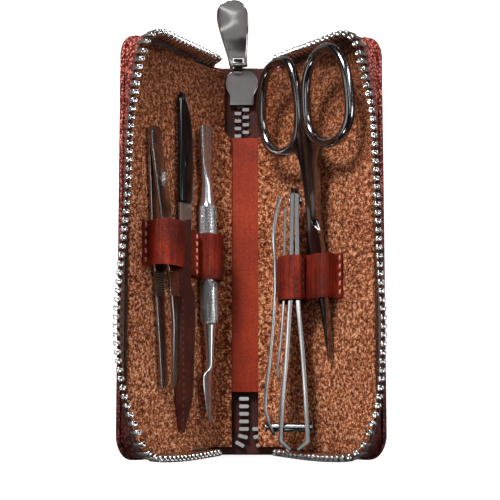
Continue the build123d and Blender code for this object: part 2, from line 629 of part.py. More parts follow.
under_a = in_plan([(22.0, 7.6), (29.0, 7.6), (29.0, 4.0), (22.0, 4.0)], -SCI_T, -LAP)
save("scissors_blade_upper", put(on_scissors(solid_of(side_a - screw_hole - under_a)), 1))
save("scissors_blade_lower", put(on_scissors(solid_of(side_b - screw_hole - over_b)), 1))
screw = Cylinder(1.2, SCI_T + 0.1) + Pos(0, 0, SCI_T / 2 + 0.3) * Cylinder(2.0, 0.6)
screw += Pos(0, 0, -SCI_T / 2 - 0.25) * Cylinder(1.9, 0.5)
screw -= Pos(0, 0, SCI_T / 2 + 0.55) * Box(5, 0.5, 0.5)
save("scissors_screw", put(on_scissors(Pos(PIVOT[0], flat_v(PIVOT[1]), 0) * solid_of(screw)), 1))

# ------------------------------------------------------------------ nail clipper
CLIP_ROLL = 50.0
CLIP_AT = (17.45, 0.0, 10.5)
LEAF_T = 1.4
LEAF_HALF = 5.25
LEAF_TOP = 3.6
CLIP_X0 = FOLD_X + CLIP_AT[0] * cos(radians(TILT[1])) - CLIP_AT[2] * sin(radians(TILT[1]))


def on_clipper(shape):
    return Location(CLIP_AT, (0, CLIP_ROLL, 0)) * shape


def line_face(points, thick):
    """Constant-thickness strip along straight runs, mitred at the bends."""
    left, right = [], []
    n = len(points)
    for i in range(n):
        a = Vector(*points[max(i - 1, 0)])
        b = Vector(*points[i])
        c = Vector(*points[min(i + 1, n - 1)])
        d1 = (b - a) if i else (c - b)
        d2 = (c - b) if i < n - 1 else d1
        n1 = Vector(-d1.Y, d1.X).normalized()
        n2 = Vector(-d2.Y, d2.X).normalized()
        m = (n1 + n2).normalized()
        k = thick / 2 / m.dot(n1)
        left.append((b.X + m.X * k, b.Y + m.Y * k))
        right.append((b.X - m.X * k, b.Y - m.Y * k))
    return polygon(*left, *reversed(right))


def clip_strip(points, thick, half0, half1, round_top=False):
    """A strip of the clipper: its run in (s, v), its half width going from half0 to half1."""
    lo = min(p[1] for p in points) - 3
    hi = max(p[1] for p in points) + 3
    body = slab(line_face(points, thick), -12, 12)
    nose = 2.2 if round_top else 0.0
    plan = [(hi - 3, -half0 + nose), (hi - 3, half0 - nose), (hi - 3 - nose, half0), (lo, half1),
            (lo, -half1), (hi - 3 - nose, -half0)]
    if not round_top:
        plan[0] = (hi, -half0)
        plan[1] = (hi, half0)
    face = Plane(origin=(-30, 0, 0), x_dir=(0, 1, 0), z_dir=(1, 0, 0)).location * polygon(*plan)
    return solid_of(body & extrude(face, 60))


def s_at(x):
    return x - CLIP_X0


leaf_l = clip_strip([(s_at(14.9), 18.6), (s_at(14.75), 9.0), (s_at(14.4), -14.0), (s_at(12.95), -35.2),
                     (s_at(11.9), -45.4), (s_at(11.2), -53.8), (s_at(10.9), -61.9),
                     (s_at(14.0), -64.9)], LEAF_T, LEAF_TOP, LEAF_HALF, True)
leaf_r = clip_strip([(s_at(16.32), 18.6), (s_at(16.25), 9.0), (s_at(16.6), -19.5), (s_at(18.0), -35.2),
                     (s_at(18.75), -47.1), (s_at(19.35), -58.9), (s_at(19.5), -62.0),
                     (s_at(16.3), -64.9)], LEAF_T, LEAF_TOP, LEAF_HALF, True)
PIN_V = -57.8
PIN_R = 1.5
hole = Pos(0, PIN_V, 0) * Rot(0, 90, 0) * Cylinder(PIN_R + 0.35, 60)
rivet_hole = Pos(0, 14.5, 0) * Rot(0, 90, 0) * Cylinder(1.3, 60)
leaf_l = solid_of(leaf_l - hole - rivet_hole)
pin_hole_r = Pos(0, PIN_V, 0) * Rot(0, 90, 0) * Cylinder(PIN_R, 60)
leaf_r = solid_of(leaf_r - pin_hole_r - rivet_hole)
save("clipper_leaf_left", put(on_clipper(leaf_l), 1))
save("clipper_leaf_right", put(on_clipper(leaf_r), 1))
rivet = Pos(s_at(15.62), 14.5, 0) * Rot(0, 90, 0) * Cylinder(1.3, 3.5)
rivet += Pos(s_at(17.6), 14.5, 0) * Rot(0, 90, 0) * Cylinder(2.1, 0.7)
save("clipper_rivet", put(on_clipper(solid_of(rivet - leaf_l - leaf_r)), 1))
pin = Pos((s_at(20.7) + s_at(6.0)) / 2, PIN_V, 0) * Rot(0, 90, 0) * Cylinder(PIN_R, 14.7)
pin += Pos(s_at(20.5), PIN_V, 0) * Rot(0, 90, 0) * Cylinder(2.4, 0.8)
pin = solid_of(pin - leaf_r)
neck_ring = Pos(s_at(7.4), PIN_V, 0) * Rot(0, 90, 0) * (Cylinder(3, 1.6) - Cylinder(0.9, 3))
save("clipper_pin", put(on_clipper(solid_of(pin - neck_ring)), 1))
lever = clip_strip([(s_at(11.1), 15.6), (s_at(10.0), 11.8), (s_at(8.95), 6.0), (s_at(8.75), 1.3),
                    (s_at(9.3), -6.0), (s_at(9.3), -14.7), (s_at(8.4), -28.3), (s_at(7.35), -38.6),
                    (s_at(6.35), -45.4), (s_at(6.0), -52.0), (s_at(7.2), -56.4), (s_at(8.9), -60.4)],
                   1.1, 3.1, 2.8)
lever = solid_of(lever - Pos(0, PIN_V, 0) * Box(60, 3.8, 3.6))
save("clipper_lever", put(on_clipper(lever), 1))
arm = clip_strip([(s_at(12.6), 12.0), (s_at(11.95), -18.5), (s_at(11.15), -30.2), (s_at(10.35), -36.0),
                  (s_at(9.9), -38.8), (s_at(10.2), -42.4)], 0.8, 2.4, 2.0)
save("clipper_file", put(on_clipper(arm), 1))
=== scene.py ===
# %% [markdown]
# # A zip-round manicure case, lying open
# The case lies on its spine with both halves half raised, so the tools face up. The frame holds every
# CAD node in its place, already on the body that carries it. The hard parts could be modelled again by
# hand, but then they would drift from the real sizes, so this scene keeps them and gives each one its
# surface. Only the soft or finely shaped pieces are drawn anew, from the same named sizes.

# %% Load the frame
import json
import math
import bpy
import bmesh
from mathutils import Matrix, Vector, noise

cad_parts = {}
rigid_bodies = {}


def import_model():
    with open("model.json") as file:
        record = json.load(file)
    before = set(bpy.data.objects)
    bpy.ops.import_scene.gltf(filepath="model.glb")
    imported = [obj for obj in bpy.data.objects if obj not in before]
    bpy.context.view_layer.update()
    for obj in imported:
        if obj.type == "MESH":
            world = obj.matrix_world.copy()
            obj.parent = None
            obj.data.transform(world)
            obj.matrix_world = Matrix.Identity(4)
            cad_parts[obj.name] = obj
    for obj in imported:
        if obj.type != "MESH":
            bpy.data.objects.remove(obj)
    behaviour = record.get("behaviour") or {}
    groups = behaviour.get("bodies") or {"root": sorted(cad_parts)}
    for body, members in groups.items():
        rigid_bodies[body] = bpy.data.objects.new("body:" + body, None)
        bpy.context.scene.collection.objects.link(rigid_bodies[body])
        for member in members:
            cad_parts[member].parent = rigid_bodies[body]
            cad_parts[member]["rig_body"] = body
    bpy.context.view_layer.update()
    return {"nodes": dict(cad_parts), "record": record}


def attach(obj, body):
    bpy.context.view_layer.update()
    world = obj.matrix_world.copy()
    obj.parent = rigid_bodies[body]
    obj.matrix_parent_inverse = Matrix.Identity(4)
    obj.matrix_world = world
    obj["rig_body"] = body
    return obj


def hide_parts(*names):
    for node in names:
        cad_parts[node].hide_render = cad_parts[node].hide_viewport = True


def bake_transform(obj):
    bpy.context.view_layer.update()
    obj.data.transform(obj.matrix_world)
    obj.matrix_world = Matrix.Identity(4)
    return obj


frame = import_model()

MM = 0.001
print("nodes in the frame:", len(frame["nodes"]))

# %% [markdown]
# ## Where things are
# Each half is described flat: u outward from its fold, v along the spine, w off the panel. `spot`
# turns that into the open case's coordinates, so a mesh drawn flat lands on its tilted half. Drawing
# flat and turning the object would do as well, but then its origin would leave the frame's. The
# numbers are the case's own sizes, in millimetres.

# %% Sizes of a half, and its place
FOLD_X, FOLD_Z = 12.8, 7.5
TILT = {1: 52.5, -1: 57.5}
PANEL_W, CORNER_R = 48.0, 8.0


def spot(side, u, v, w):
    """A point of a half, given flat in millimetres, as a place in the open case in metres."""
    a = math.radians(TILT[side])
    x = side * (FOLD_X + u * math.cos(a) - w * math.sin(a))
    z = FOLD_Z + u * math.sin(a) + w * math.cos(a)
    return Vector((x * MM, v * MM, z * MM))


def clamp(x, lo=0.0, hi=1.0):
    return max(lo, min(hi, x))


def ease(x):
    x = clamp(x)
    return x * x * (3 - 2 * x)


edge_height = {side: round(spot(side, PANEL_W, 0, 0).z / MM, 1) for side in (1, -1)}
print("height of each panel's outer edge, mm:", edge_height)

# %% [markdown]
# ## From lists to objects
# Every drawn piece is a list of points and faces. A piece could be built with Blender's operators, but
# those depend on what is selected; lists give the same mesh each run. Most pieces are rings of points
# joined into a tube, so `skin` makes the faces of one, and `add_mesh` welds it and turns it outward.

# %% Mesh helpers
WELD = 1e-7


def skin(start, rings, loop):
    """Faces of a tube of rings: quads from ring to ring, and one face over each end."""
    faces = []
    for i in range(rings - 1):
        for k in range(loop):
            a, b = start + i * loop + k, start + i * loop + (k + 1) % loop
            faces.append((a, b, b + loop, a + loop))
    last = start + (rings - 1) * loop
    return faces + [tuple(reversed(range(start, start + loop))), tuple(range(last, last + loop))]


def ring(count, square):
    """Round the outline of a rounded square, 2 being a circle: each angle, and its place across and up."""
    for k in range(count):
        a = math.tau * k / count
        c, s = math.cos(a), math.sin(a)
        r = (abs(c) ** square + abs(s) ** square) ** (-1 / square)
        yield a, c * r, s * r


def add_mesh(name, verts, faces, material, smooth=True, angle=40):
    """A mesh object from lists, welded, facing outward, with creases kept above an angle."""
    me = bpy.data.meshes.new(name)
    me.from_pydata([tuple(v) for v in verts], [], faces)
    bm = bmesh.new()
    bm.from_mesh(me)
    bmesh.ops.remove_doubles(bm, verts=bm.verts, dist=WELD)
    bmesh.ops.recalc_face_normals(bm, faces=bm.faces)
    bm.to_mesh(me)
    bm.free()
    ob = bpy.data.objects.new(name, me)
    bpy.context.scene.collection.objects.link(ob)
    me.materials.append(material)
    if smooth:
        me.shade_smooth()
        me.set_sharp_from_angle(angle=math.radians(angle))
    return ob


def finish_piece(ob, body, slot, *nodes):
    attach(ob, body)
    if nodes:
        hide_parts(*nodes)
    return ob


print("a short tube of 3 rings of 8 points has", len(skin(0, 3, 8)), "faces")

# %% [markdown]
# ## Material helpers
# Small node trees, built by a few words each: a noise, a colour ramp, a bump. Painted pictures would
# need each mesh unwrapped, so all grain is computed from the place in the object. Scales are in the
# object's own metres, so a grain of a given size stays that size on every piece.

# %% A material and its sockets
def put(nt, socket, x):
    """Feed a socket: from another socket by a link, or with a constant of its own."""
    if isinstance(x, bpy.types.NodeSocket):
        nt.links.new(x, socket)
    else:
        socket.default_value = x


def node(nt, kind, **sets):
    """A node with its properties, and its inputs where the word starts with in_."""
    n = nt.nodes.new("ShaderNode" + kind)
    for k, v in sets.items():
        if k.startswith("in_"):
            put(nt, n.inputs[k[3:].replace("_", " ")], v)
        else:
            setattr(n, k, v)
    return n


def dress(nt, shader, **sets):
    for k, v in sets.items():
        put(nt, shader.inputs[k.replace("_", " ")], v)


def new_material(name):
    m = bpy.data.materials.new(name)
    m.use_nodes = True
    nt = m.node_tree
    nt.nodes.clear()
    bsdf = node(nt, "BsdfPrincipled")
    node(nt, "OutputMaterial", in_Surface=bsdf.outputs[0])
    return m, nt, bsdf, node(nt, "TexCoord").outputs["Object"]


def srgb(r, g, b):
    """A colour picked as 0-255 on screen, as the linear value a shader wants."""
    def lin(c):
        c /= 255.0
        return c / 12.92 if c <= 0.04045 else ((c + 0.055) / 1.055) ** 2.4
    return (lin(r), lin(g), lin(b))


print("a tan of 202, 116, 72 on screen is", [round(c, 3) for c in srgb(202, 116, 72)], "as light")


# %% Textures
def stretch(nt, vec, x, y, z):
    return node(nt, "Mapping", in_Vector=vec, in_Scale=(x, y, z)).outputs["Vector"]


def noise_tex(nt, vec, scale, detail, rough=0.6):
    return node(nt, "TexNoise", in_Vector=vec, in_Scale=scale, in_Detail=detail,
                in_Roughness=rough).outputs["Fac"]


def cells(nt, vec, scale, feature="F1"):
    return node(nt, "TexVoronoi", feature=feature, in_Vector=vec,
                in_Scale=scale).outputs["Distance"]


def ribbing(nt, vec, direction, scale, distortion):
    return node(nt, "TexWave", wave_type="BANDS", bands_direction=direction, in_Vector=vec,
                in_Scale=scale, in_Distortion=distortion, in_Detail=2.0).outputs["Fac"]


def along_spine(nt, vec):
    """How far along the spine a point lies, in metres."""
    return node(nt, "SeparateXYZ", in_Vector=vec).outputs["Y"]


print("grain of a noise of scale 900, mm:", round(1 / 900 / MM, 2))


# %% Sums, ramps and bumps
def value_map(nt, fac, a, b, lo, hi):
    return node(nt, "MapRange", in_Value=fac, in_From_Min=a, in_From_Max=b, in_To_Min=lo,
                in_To_Max=hi).outputs["Result"]


def calc(nt, op, *terms):
    n = node(nt, "Math", operation=op)
    for socket, x in zip(n.inputs, terms):
        put(nt, socket, x)
    return n.outputs[0]


def times(nt, a, b):
    return calc(nt, "MULTIPLY", a, b)


def plus(nt, a, b):
    return calc(nt, "ADD", a, b)


def weigh(nt, a, wa, b, wb):
    """The sum of two values, each times its weight."""
    return plus(nt, times(nt, a, wa), times(nt, b, wb))


def ramp(nt, fac, stops):
    n = node(nt, "ValToRGB", in_Fac=fac)
    els = n.color_ramp.elements
    while len(els) < len(stops):
        els.new(0.5)
    for e, (p, c) in zip(els, stops):
        e.position = p
        e.color = (*c, 1.0)
    return n.outputs["Color"]


def mix_color(nt, fac, a, b, mode="MULTIPLY"):
    n = node(nt, "Mix", data_type="RGBA", blend_type=mode)
    for name, x in (("Factor", fac), ("A", a), ("B", b)):
        socket = [k for k in n.inputs if k.name == name and k.enabled][0]
        put(nt, socket, (*x, 1.0) if isinstance(x, tuple) else x)
    return [k for k in n.outputs if k.enabled][0]


def bump(nt, height, strength, distance, normal=None):
    more = {} if normal is None else {"in_Normal": normal}
    return node(nt, "Bump", in_Height=height, in_Strength=strength, in_Distance=distance,
                **more).outputs["Normal"]


print("a bump of 1.1 mm is", round(0.0011 / 0.133 * 100, 1), "per cent of the case's length")

# %% [markdown]
# ## Suede
# The lining is split leather with its nap up: orange-tan, coarse and mottled, with darker pits where
# the fibres part and paler tips. Real hairs would be too many for so fine a nap, so two noises give
# its tone and bump, and a little sheen lifts it at grazing angles. Its colour darkens toward the
# slider end: painted shade, standing for the shadow of the top wall.

# %% Suede
def suede_material():
    m, nt, b, co = new_material("suede_lining")
    broad = noise_tex(nt, co, 38, 4, 0.6)
    mid = noise_tex(nt, co, 900, 3, 0.7)
    fine = noise_tex(nt, co, 2100, 3, 0.75)
    grain = weigh(nt, mid, 0.5, fine, 0.5)
    tone = ramp(nt, grain, [(0.41, srgb(36, 12, 6)), (0.475, srgb(124, 58, 30)), (0.53, srgb(202, 116, 72)),
                            (0.58, srgb(255, 204, 164))])
    shade = ramp(nt, broad, [(0.35, (0.78, 0.70, 0.66)), (0.62, (1.06, 1.05, 1.04))])
    # painted shade: the colour darkens toward the slider end, standing for the top wall's shadow
    far = ramp(nt, value_map(nt, along_spine(nt, co), 0.018, 0.066, 0.0, 1.0),
               [(0.0, (1, 1, 1)), (0.45, (0.72, 0.64, 0.58)), (1.0, (0.34, 0.27, 0.22))])
    darker_toward_end = mix_color(nt, 1.0, mix_color(nt, 1.0, tone, shade), far)
    dress(nt, b, Base_Color=darker_toward_end, Roughness=0.95, Specular_IOR_Level=0.12, Sheen_Weight=0.12,
          Sheen_Roughness=0.6, Sheen_Tint=(*srgb(236, 190, 160), 1), Normal=bump(nt, grain, 1.0, 0.0011))
    return m


MAT = {"suede": suede_material()}
print("suede nodes:", len(MAT["suede"].node_tree.nodes))

# %% [markdown]
# ## Leathers
# The strip over the spine, the straps and the sheath are smooth and waxed, with faint streaks along
# the hide. One recipe with a few dials serves all three, as they are one hide dyed and finished in
# different ways; a separate tree for each would only repeat it.

# %% Smooth leathers
def leather_material(name, base, dark, light, grain_scale, grain_depth, rough, streak, gloss):
    m, nt, b, co = new_material(name)
    broad = noise_tex(nt, co, 60, 5, 0.6)
    fine = noise_tex(nt, co, 900, 3, 0.6)
    cell = cells(nt, co, grain_scale)
    crease = cells(nt, co, grain_scale * 0.9, "DISTANCE_TO_EDGE")
    specks = ramp(nt, noise_tex(nt, co, 1300, 3, 0.7),
                  [(0.38, (0.72, 0.66, 0.62)), (0.62, (1.16, 1.16, 1.14))])
    dye = ramp(nt, broad, [(0.3, dark), (0.52, base), (0.72, light)])
    tone = mix_color(nt, 0.8, dye, specks)
    # painted shade: the grain's creases, sunk in the bump, are also darkened in colour
    crease_shade = ramp(nt, crease, [(0.0, (0.62, 0.55, 0.52)), (0.16, (1, 1, 1))])
    col = mix_color(nt, 0.75, tone, crease_shade)
    long_grain = noise_tex(nt, stretch(nt, co, 1500, 60, 1500), 1.0, 4, 0.6)
    lines = ramp(nt, long_grain, [(0.38, (0.50, 0.42, 0.40)), (0.62, (1.20, 1.16, 1.12))])
    col = mix_color(nt, streak, col, lines)
    edge = value_map(nt, crease, 0.0, 0.22, 0.0, 1.0)
    height = plus(nt, edge, times(nt, plus(nt, cell, fine), 0.25))
    dress(nt, b, Base_Color=col, Roughness=value_map(nt, fine, 0.3, 0.7, rough - 0.08, rough + 0.12),
          Specular_IOR_Level=gloss, Normal=bump(nt, height, 0.7, grain_depth))
    return m


SMOOTH = {  # dye, dark, light, grain scale and depth, roughness, streaks, gloss
    "smooth_leather": (srgb(164, 50, 14), srgb(138, 38, 10), srgb(178, 62, 20), 2600, 0.00003, 0.55, 0.2,
                       0.3),
    "strap_leather": (srgb(124, 32, 12), srgb(62, 12, 6), srgb(166, 56, 24), 1900, 0.00014, 0.45, 1.0, 0.22),
    "sheath_leather": (srgb(74, 26, 15), srgb(52, 16, 9), srgb(94, 38, 22), 1500, 0.00008, 0.7, 0.3, 0.3)}
MAT.update({name: leather_material(name, *dials) for name, dials in SMOOTH.items()})
print("smooth leathers:", list(SMOOTH))

# %% [markdown]
# ## The outside leather
# The covers are red-brown hide pressed with small glossy pebbles. Modelled pebbles would be tens of
# thousands of bumps, so a cell texture shapes them in the bump and paints their tops pale pink, a
# painted highlight. The colour is darker toward the low end.

# %% Pebbled leather
def pebbled_material():
    """The case's outside: small glossy pebbles with painted highlights on their tops, darker toward the low
    end.
    """
    m, nt, b, co = new_material("pebbled_leather")
    pebble = cells(nt, co, 1250)
    fine = noise_tex(nt, co, 1700, 3, 0.7)
    grain = weigh(nt, pebble, 0.55, fine, 0.7)
    # painted highlight: the middles of the pebbles are pale pink, for the shine on their tops
    tone = ramp(nt, grain, [(0.46, srgb(236, 160, 144)), (0.55, srgb(160, 62, 50)), (0.66, srgb(80, 16, 12))])
    # the colour darkens toward the low end
    darker_toward_end = ramp(nt, value_map(nt, along_spine(nt, co), -0.050, 0.045, 0.0, 1.0),
                [(0.0, (0.26, 0.16, 0.16)), (0.5, (0.42, 0.30, 0.30)), (1.0, (1, 1, 1))])
    dress(nt, b, Base_Color=mix_color(nt, 1.0, tone, darker_toward_end), Roughness=0.45,
          Specular_IOR_Level=0.35, Normal=bump(nt, grain, 0.8, 0.0003))
    return m


MAT["grained_leather"] = pebbled_material()
print("outside leather nodes:", len(MAT["grained_leather"].node_tree.nodes))

# %% [markdown]
# ## Metals
# The tools are nickel plated and mirror bright; the lights around them are few, so most of what they
# reflect is dark. A plain mirror would look like glass, so a trace of smearing along the metal, a few
# fine wipe marks and a slight waviness break it up. Ribs and hollows too shallow to model are bumps.

# %% Steel and plate
RIB_PITCH, RIB_DEPTH = 0.00075, 0.00022


def steel_material(name, tint, rough, wave=0.00002, brush=0.0, metal=1.0, ribs=None, dish=None, groove_shade=False):
    m, nt, b, co = new_material(name)
    wipe = noise_tex(nt, stretch(nt, co, 2600, 180, 2600), 1.0, 3, 0.6)
    cloud = noise_tex(nt, co, 160, 4, 0.6)
    spots = noise_tex(nt, co, 3200, 2, 0.5)
    base = ramp(nt, cloud, [(0.3, tuple(c * 0.86 for c in tint)), (0.7, tint)])
    smear = ramp(nt, wipe, [(0.3, (0.8, 0.8, 0.8)), (0.7, (1, 1, 1))])
    col = mix_color(nt, 0.25, base, smear)
    # painted shade: the knurl's grooves are mixed toward black, as read from the mesh attribute
    if groove_shade:
        cut = node(nt, "Attribute", attribute_name="groove_shade")
        col = mix_color(nt, cut.outputs["Fac"], col, (0.015, 0.014, 0.014), "MIX")
    r = plus(nt, times(nt, wipe, 0.10 + brush), rough - 0.05 - brush * 0.4)
    h = weigh(nt, cloud, 0.8, wipe, 0.2 + brush)
    nrm = bump(nt, plus(nt, h, times(nt, spots, 0.05)), 0.5, wave)
    y = along_spine(nt, co)
    if dish:
        start, length, height = dish
        turn = times(nt, calc(nt, "SUBTRACT", y, start), math.tau / length)
        nrm = bump(nt, calc(nt, "SINE", turn), 1.0, height, nrm)
    if ribs:
        low, high = ribs
        here = times(nt, calc(nt, "GREATER_THAN", y, low), calc(nt, "LESS_THAN", y, high))
        wave_y = calc(nt, "SINE", times(nt, y, math.tau / RIB_PITCH))
        nrm = bump(nt, times(nt, wave_y, here), 1.0, RIB_DEPTH, nrm)
    dress(nt, b, Base_Color=col, Metallic=metal, Roughness=calc(nt, "MAXIMUM", r, 0.03), Normal=nrm)
    return m


METALS = {  # tint, roughness, and what else sets the finish apart
    "polished_steel": ((0.32, 0.31, 0.315), 0.14, {}),
    # painted highlight: a brighter copy of the tools' steel, so the clipper's edges shine brighter
    "clipper_steel": ((0.54, 0.53, 0.53), 0.12, {}),
    "satin_steel": ((0.68, 0.68, 0.70), 0.24, {"brush": 0.05, "metal": 0.92, "groove_shade": True}),
    "tweezer_steel": ((0.46, 0.45, 0.455), 0.17, {"ribs": (-0.0172, -0.0094)}),
    "slider_metal": ((0.38, 0.35, 0.345), 0.16, {}),
    "puller_metal": ((0.40, 0.375, 0.37), 0.15, {"dish": (0.061, 0.020, 0.0006)}),
    "zip_metal": ((0.74, 0.725, 0.72), 0.13, {}),
    "file_steel": ((0.40, 0.39, 0.38), 0.42, {"wave": 0.0001, "brush": 0.1}),
}
MAT.update({name: steel_material(name, tint, rough, **more) for name, (tint, rough, more) in METALS.items()})
print("metals:", len(METALS))

# %% [markdown]
# ## Plastic, tape, thread and board
# The file's grip is smooth black plastic, the zip's tape a maroon twill with its ribs across it, the
# thread two strands twisted, and the stiffening board plain card. Twill and twist repeat, so a wave
# texture draws them; threads modelled one by one would be finer than a pixel.

# %% Plastic and board
def plastic_material():
    m, nt, b, co = new_material("black_handle")
    smear = noise_tex(nt, stretch(nt, co, 500, 90, 500), 1.0, 4, 0.6)
    tone = ramp(nt, smear, [(0.3, (0.002, 0.002, 0.0022)), (0.7, (0.006, 0.006, 0.007))])
    dress(nt, b, Base_Color=tone, Roughness=value_map(nt, smear, 0.3, 0.7, 0.10, 0.20),
          Normal=bump(nt, smear, 0.2, 0.00004))
    return m


def board_material():
    m, nt, b, co = new_material("board")
    f = noise_tex(nt, co, 800, 4)
    dress(nt, b, Base_Color=ramp(nt, f, [(0.3, srgb(120, 100, 80)), (0.7, srgb(160, 140, 118))]),
          Roughness=0.9, Normal=bump(nt, f, 0.4, 0.0001))
    return m


MAT["black_handle"] = plastic_material()
MAT["board"] = board_material()
print("board nodes:", len(MAT["board"].node_tree.nodes))


# %% Tape and thread
def tape_material():
    """Zip tape: dark maroon twill, its ribs running across the tape."""
    m, nt, b, co = new_material("zip_tape")
    ribs = ribbing(nt, co, "Y", 900, 1.5)
    fuzz = noise_tex(nt, co, 1400, 4, 0.7)
    tone = ramp(nt, noise_tex(nt, co, 120, 4), [(0.3, srgb(46, 14, 10)), (0.7, srgb(92, 34, 24))])
    lines = ramp(nt, ribs, [(0.2, (0.55, 0.5, 0.5)), (0.8, (1.1, 1.05, 1.0))])
    height = plus(nt, ribs, times(nt, fuzz, 0.6))
    dress(nt, b, Base_Color=mix_color(nt, 0.8, tone, lines), Roughness=0.85,
          Sheen_Weight=0.2, Normal=bump(nt, height, 0.7, 0.00015))
    return m


def thread_material(name, dark, light):
    m, nt, b, co = new_material(name)
    twist = ribbing(nt, co, "DIAGONAL", 1500, 0.6)
    dress(nt, b, Base_Color=ramp(nt, twist, [(0.2, dark), (0.7, light)]), Roughness=0.7,
          Sheen_Weight=0.3, Normal=bump(nt, twist, 0.6, 0.0001))
    return m


MAT["zip_tape"] = tape_material()
MAT["thread"] = thread_material("thread", srgb(168, 96, 78), srgb(236, 168, 148))
MAT["dark_thread"] = thread_material("dark_thread", srgb(50, 20, 14), srgb(96, 46, 34))
print("finishes:", len(MAT))

# %% [markdown]
# ## Every node gets its finish
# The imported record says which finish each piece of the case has. Reading it from there, and not from
# a second list here, keeps a new or renamed node from being left bare.

# %% Finishes on the nodes
SLOT_OF = {s["node"]: s["material_slot"] for s in frame["record"]["subparts"]}
for name, ob in frame["nodes"].items():
    ob.data.materials.clear()
    ob.data.materials.append(MAT[SLOT_OF[name]])
print("nodes with a finish:", len(SLOT_OF))

# %% [markdown]
# ## Crisp metal from the CAD
# Stamped and ground parts have small rounded edges that catch the light. A bevel modifier would keep
# the CAD's thin triangles and shade badly, so each hard node is copied, welded and cleaned first, then
# given a narrow bevel. The copy rides the same body and stands in for the node.

# %% Bevelled copies
SEAM_WELD, FLAT_ANGLE = 2e-6, 0.6
SHARP_ANGLE, SMOOTH_ANGLE = 28, 50
FINISH_OF = {"tweezers": "tweezer_steel", "puller": "puller_metal", "clipper": "clipper_steel"}


def refine(name, bevel, play=0.0):
    src = frame["nodes"][name]
    me = src.data.copy()
    if "custom_normal" in me.attributes:
        me.attributes.remove(me.attributes["custom_normal"])
    bm = bmesh.new()
    bm.from_mesh(me)
    bmesh.ops.remove_doubles(bm, verts=bm.verts, dist=SEAM_WELD)
    bmesh.ops.dissolve_limit(bm, angle_limit=math.radians(FLAT_ANGLE), verts=bm.verts, edges=bm.edges)
    for e in bm.edges:
        e.smooth = True
    least = math.radians(SHARP_ANGLE)
    sharp = [e for e in bm.edges if len(e.link_faces) == 2 and e.calc_face_angle(0) > least]
    if bevel and sharp:
        bmesh.ops.bevel(bm, geom=sharp, offset=bevel * MM, segments=3, affect="EDGES", profile=0.6,
                        clamp_overlap=True)
    bmesh.ops.recalc_face_normals(bm, faces=bm.faces)
    if play:
        bm.normal_update()
        for vert, normal in [(v, v.normal.copy()) for v in bm.verts]:
            vert.co -= normal * play * MM
    bm.to_mesh(me)
    bm.free()
    ob = bpy.data.objects.new(name + "_fine", me)
    bpy.context.scene.collection.objects.link(ob)
    me.shade_smooth()
    me.set_sharp_from_angle(angle=math.radians(SMOOTH_ANGLE))
    family = name.split("_")[0]
    if family in FINISH_OF:
        me.materials[0] = MAT[FINISH_OF[family]]
    print(name, "edges rounded:", len(sharp) if bevel else 0)
    return finish_piece(ob, src["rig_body"], SLOT_OF[name], name)


BEVELS = {
    "slider_body": 0.18, "slider_crown": 0.12, "puller": 0.0, "tweezers_leaf": 0.32, "tweezers_arm": 0.32,
    "scissors_blade_upper": 0.75, "scissors_blade_lower": 0.75, "scissors_screw": 0.08,
    "clipper_leaf_left": 0.3, "clipper_leaf_right": 0.3, "clipper_lever": 0.3, "clipper_pin": 0.1,
    "clipper_rivet": 0.1, "clipper_file": 0.1, "nail_file_blade": 0.1}
SCREW_PLAY = 0.06
for part, width in BEVELS.items():
    refine(part, width, SCREW_PLAY if part == "scissors_screw" else 0.0)

# %% [markdown]
# ## The zip's path
# The tape stands up from the panel's edge and carries the teeth. It is slack, so it leans outward
# along the sides and stands straight at the corners. A curve with a modifier could lay the teeth out,
# but they must keep one pitch and follow the lean, so plain functions of the length along the row say
# where its foot is, how far it leans and how high it stands.

# %% The row's foot
CASE_LEN, MID_V = 132.7, -1.15
HALF_V = CASE_LEN / 2
TAPE_INSET, TAPE_T, HIDE_T = 1.2, 0.7, 1.4
TOOTH_H, TOOTH_PITCH = 4.8, 2.62
ROW_START = -0.8
R_ROW = CORNER_R - TAPE_INSET
U_FLAT = PANEL_W - TAPE_INSET - R_ROW
V_FLAT = HALF_V - TAPE_INSET - R_ROW
END_RUN = U_FLAT - ROW_START
ARC = math.pi * R_ROW / 2
ROW_LEN = 2 * END_RUN + 2 * ARC + 2 * V_FLAT


def row_foot(s):
    """Foot of the tape at arc length s from the spine's slider end: u, v and the outward normal."""
    if s > ROW_LEN / 2:
        u, v, nu, nv = row_foot(ROW_LEN - s)
        return u, 2 * MID_V - v, nu, -nv
    if s < END_RUN:
        return ROW_START + s, MID_V + V_FLAT + R_ROW, 0.0, 1.0
    s -= END_RUN
    if s >= ARC:
        return U_FLAT + R_ROW, MID_V + V_FLAT - (s - ARC), 1.0, 0.0
    a = math.pi / 2 - s / R_ROW
    return U_FLAT + R_ROW * math.cos(a), MID_V + V_FLAT + R_ROW * math.sin(a), math.cos(a), math.sin(a)


print("length of a row, mm:", round(ROW_LEN, 1))

# %% The row's lean and height
ROW_W_SPINE, ROW_W_FULL, RISE_U = 3.5, 9.2, 38.0
LEAN_SIDE = {  # place along the spine, degrees outward
    1: [(-66, 3), (-56, 37), (-45, 49), (-28, 55), (-8, 48), (20, 44), (38, 39), (53, 20), (64, 3)],
    -1: [(-66, 3), (-56, 34), (-45, 54), (-28, 65), (-10, 58), (12, 46), (34, 43), (53, 28), (64, 3)],
}
LEAN_CORNER, LEAN_SPINE_TOP, LEAN_LOW = 3.0, 27.0, 4.0


def between(table, x):
    if x <= table[0][0]:
        return table[0][1]
    for (x0, y0), (x1, y1) in zip(table, table[1:]):
        if x <= x1:
            return y0 + (y1 - y0) * (x - x0) / (x1 - x0)
    return table[-1][1]


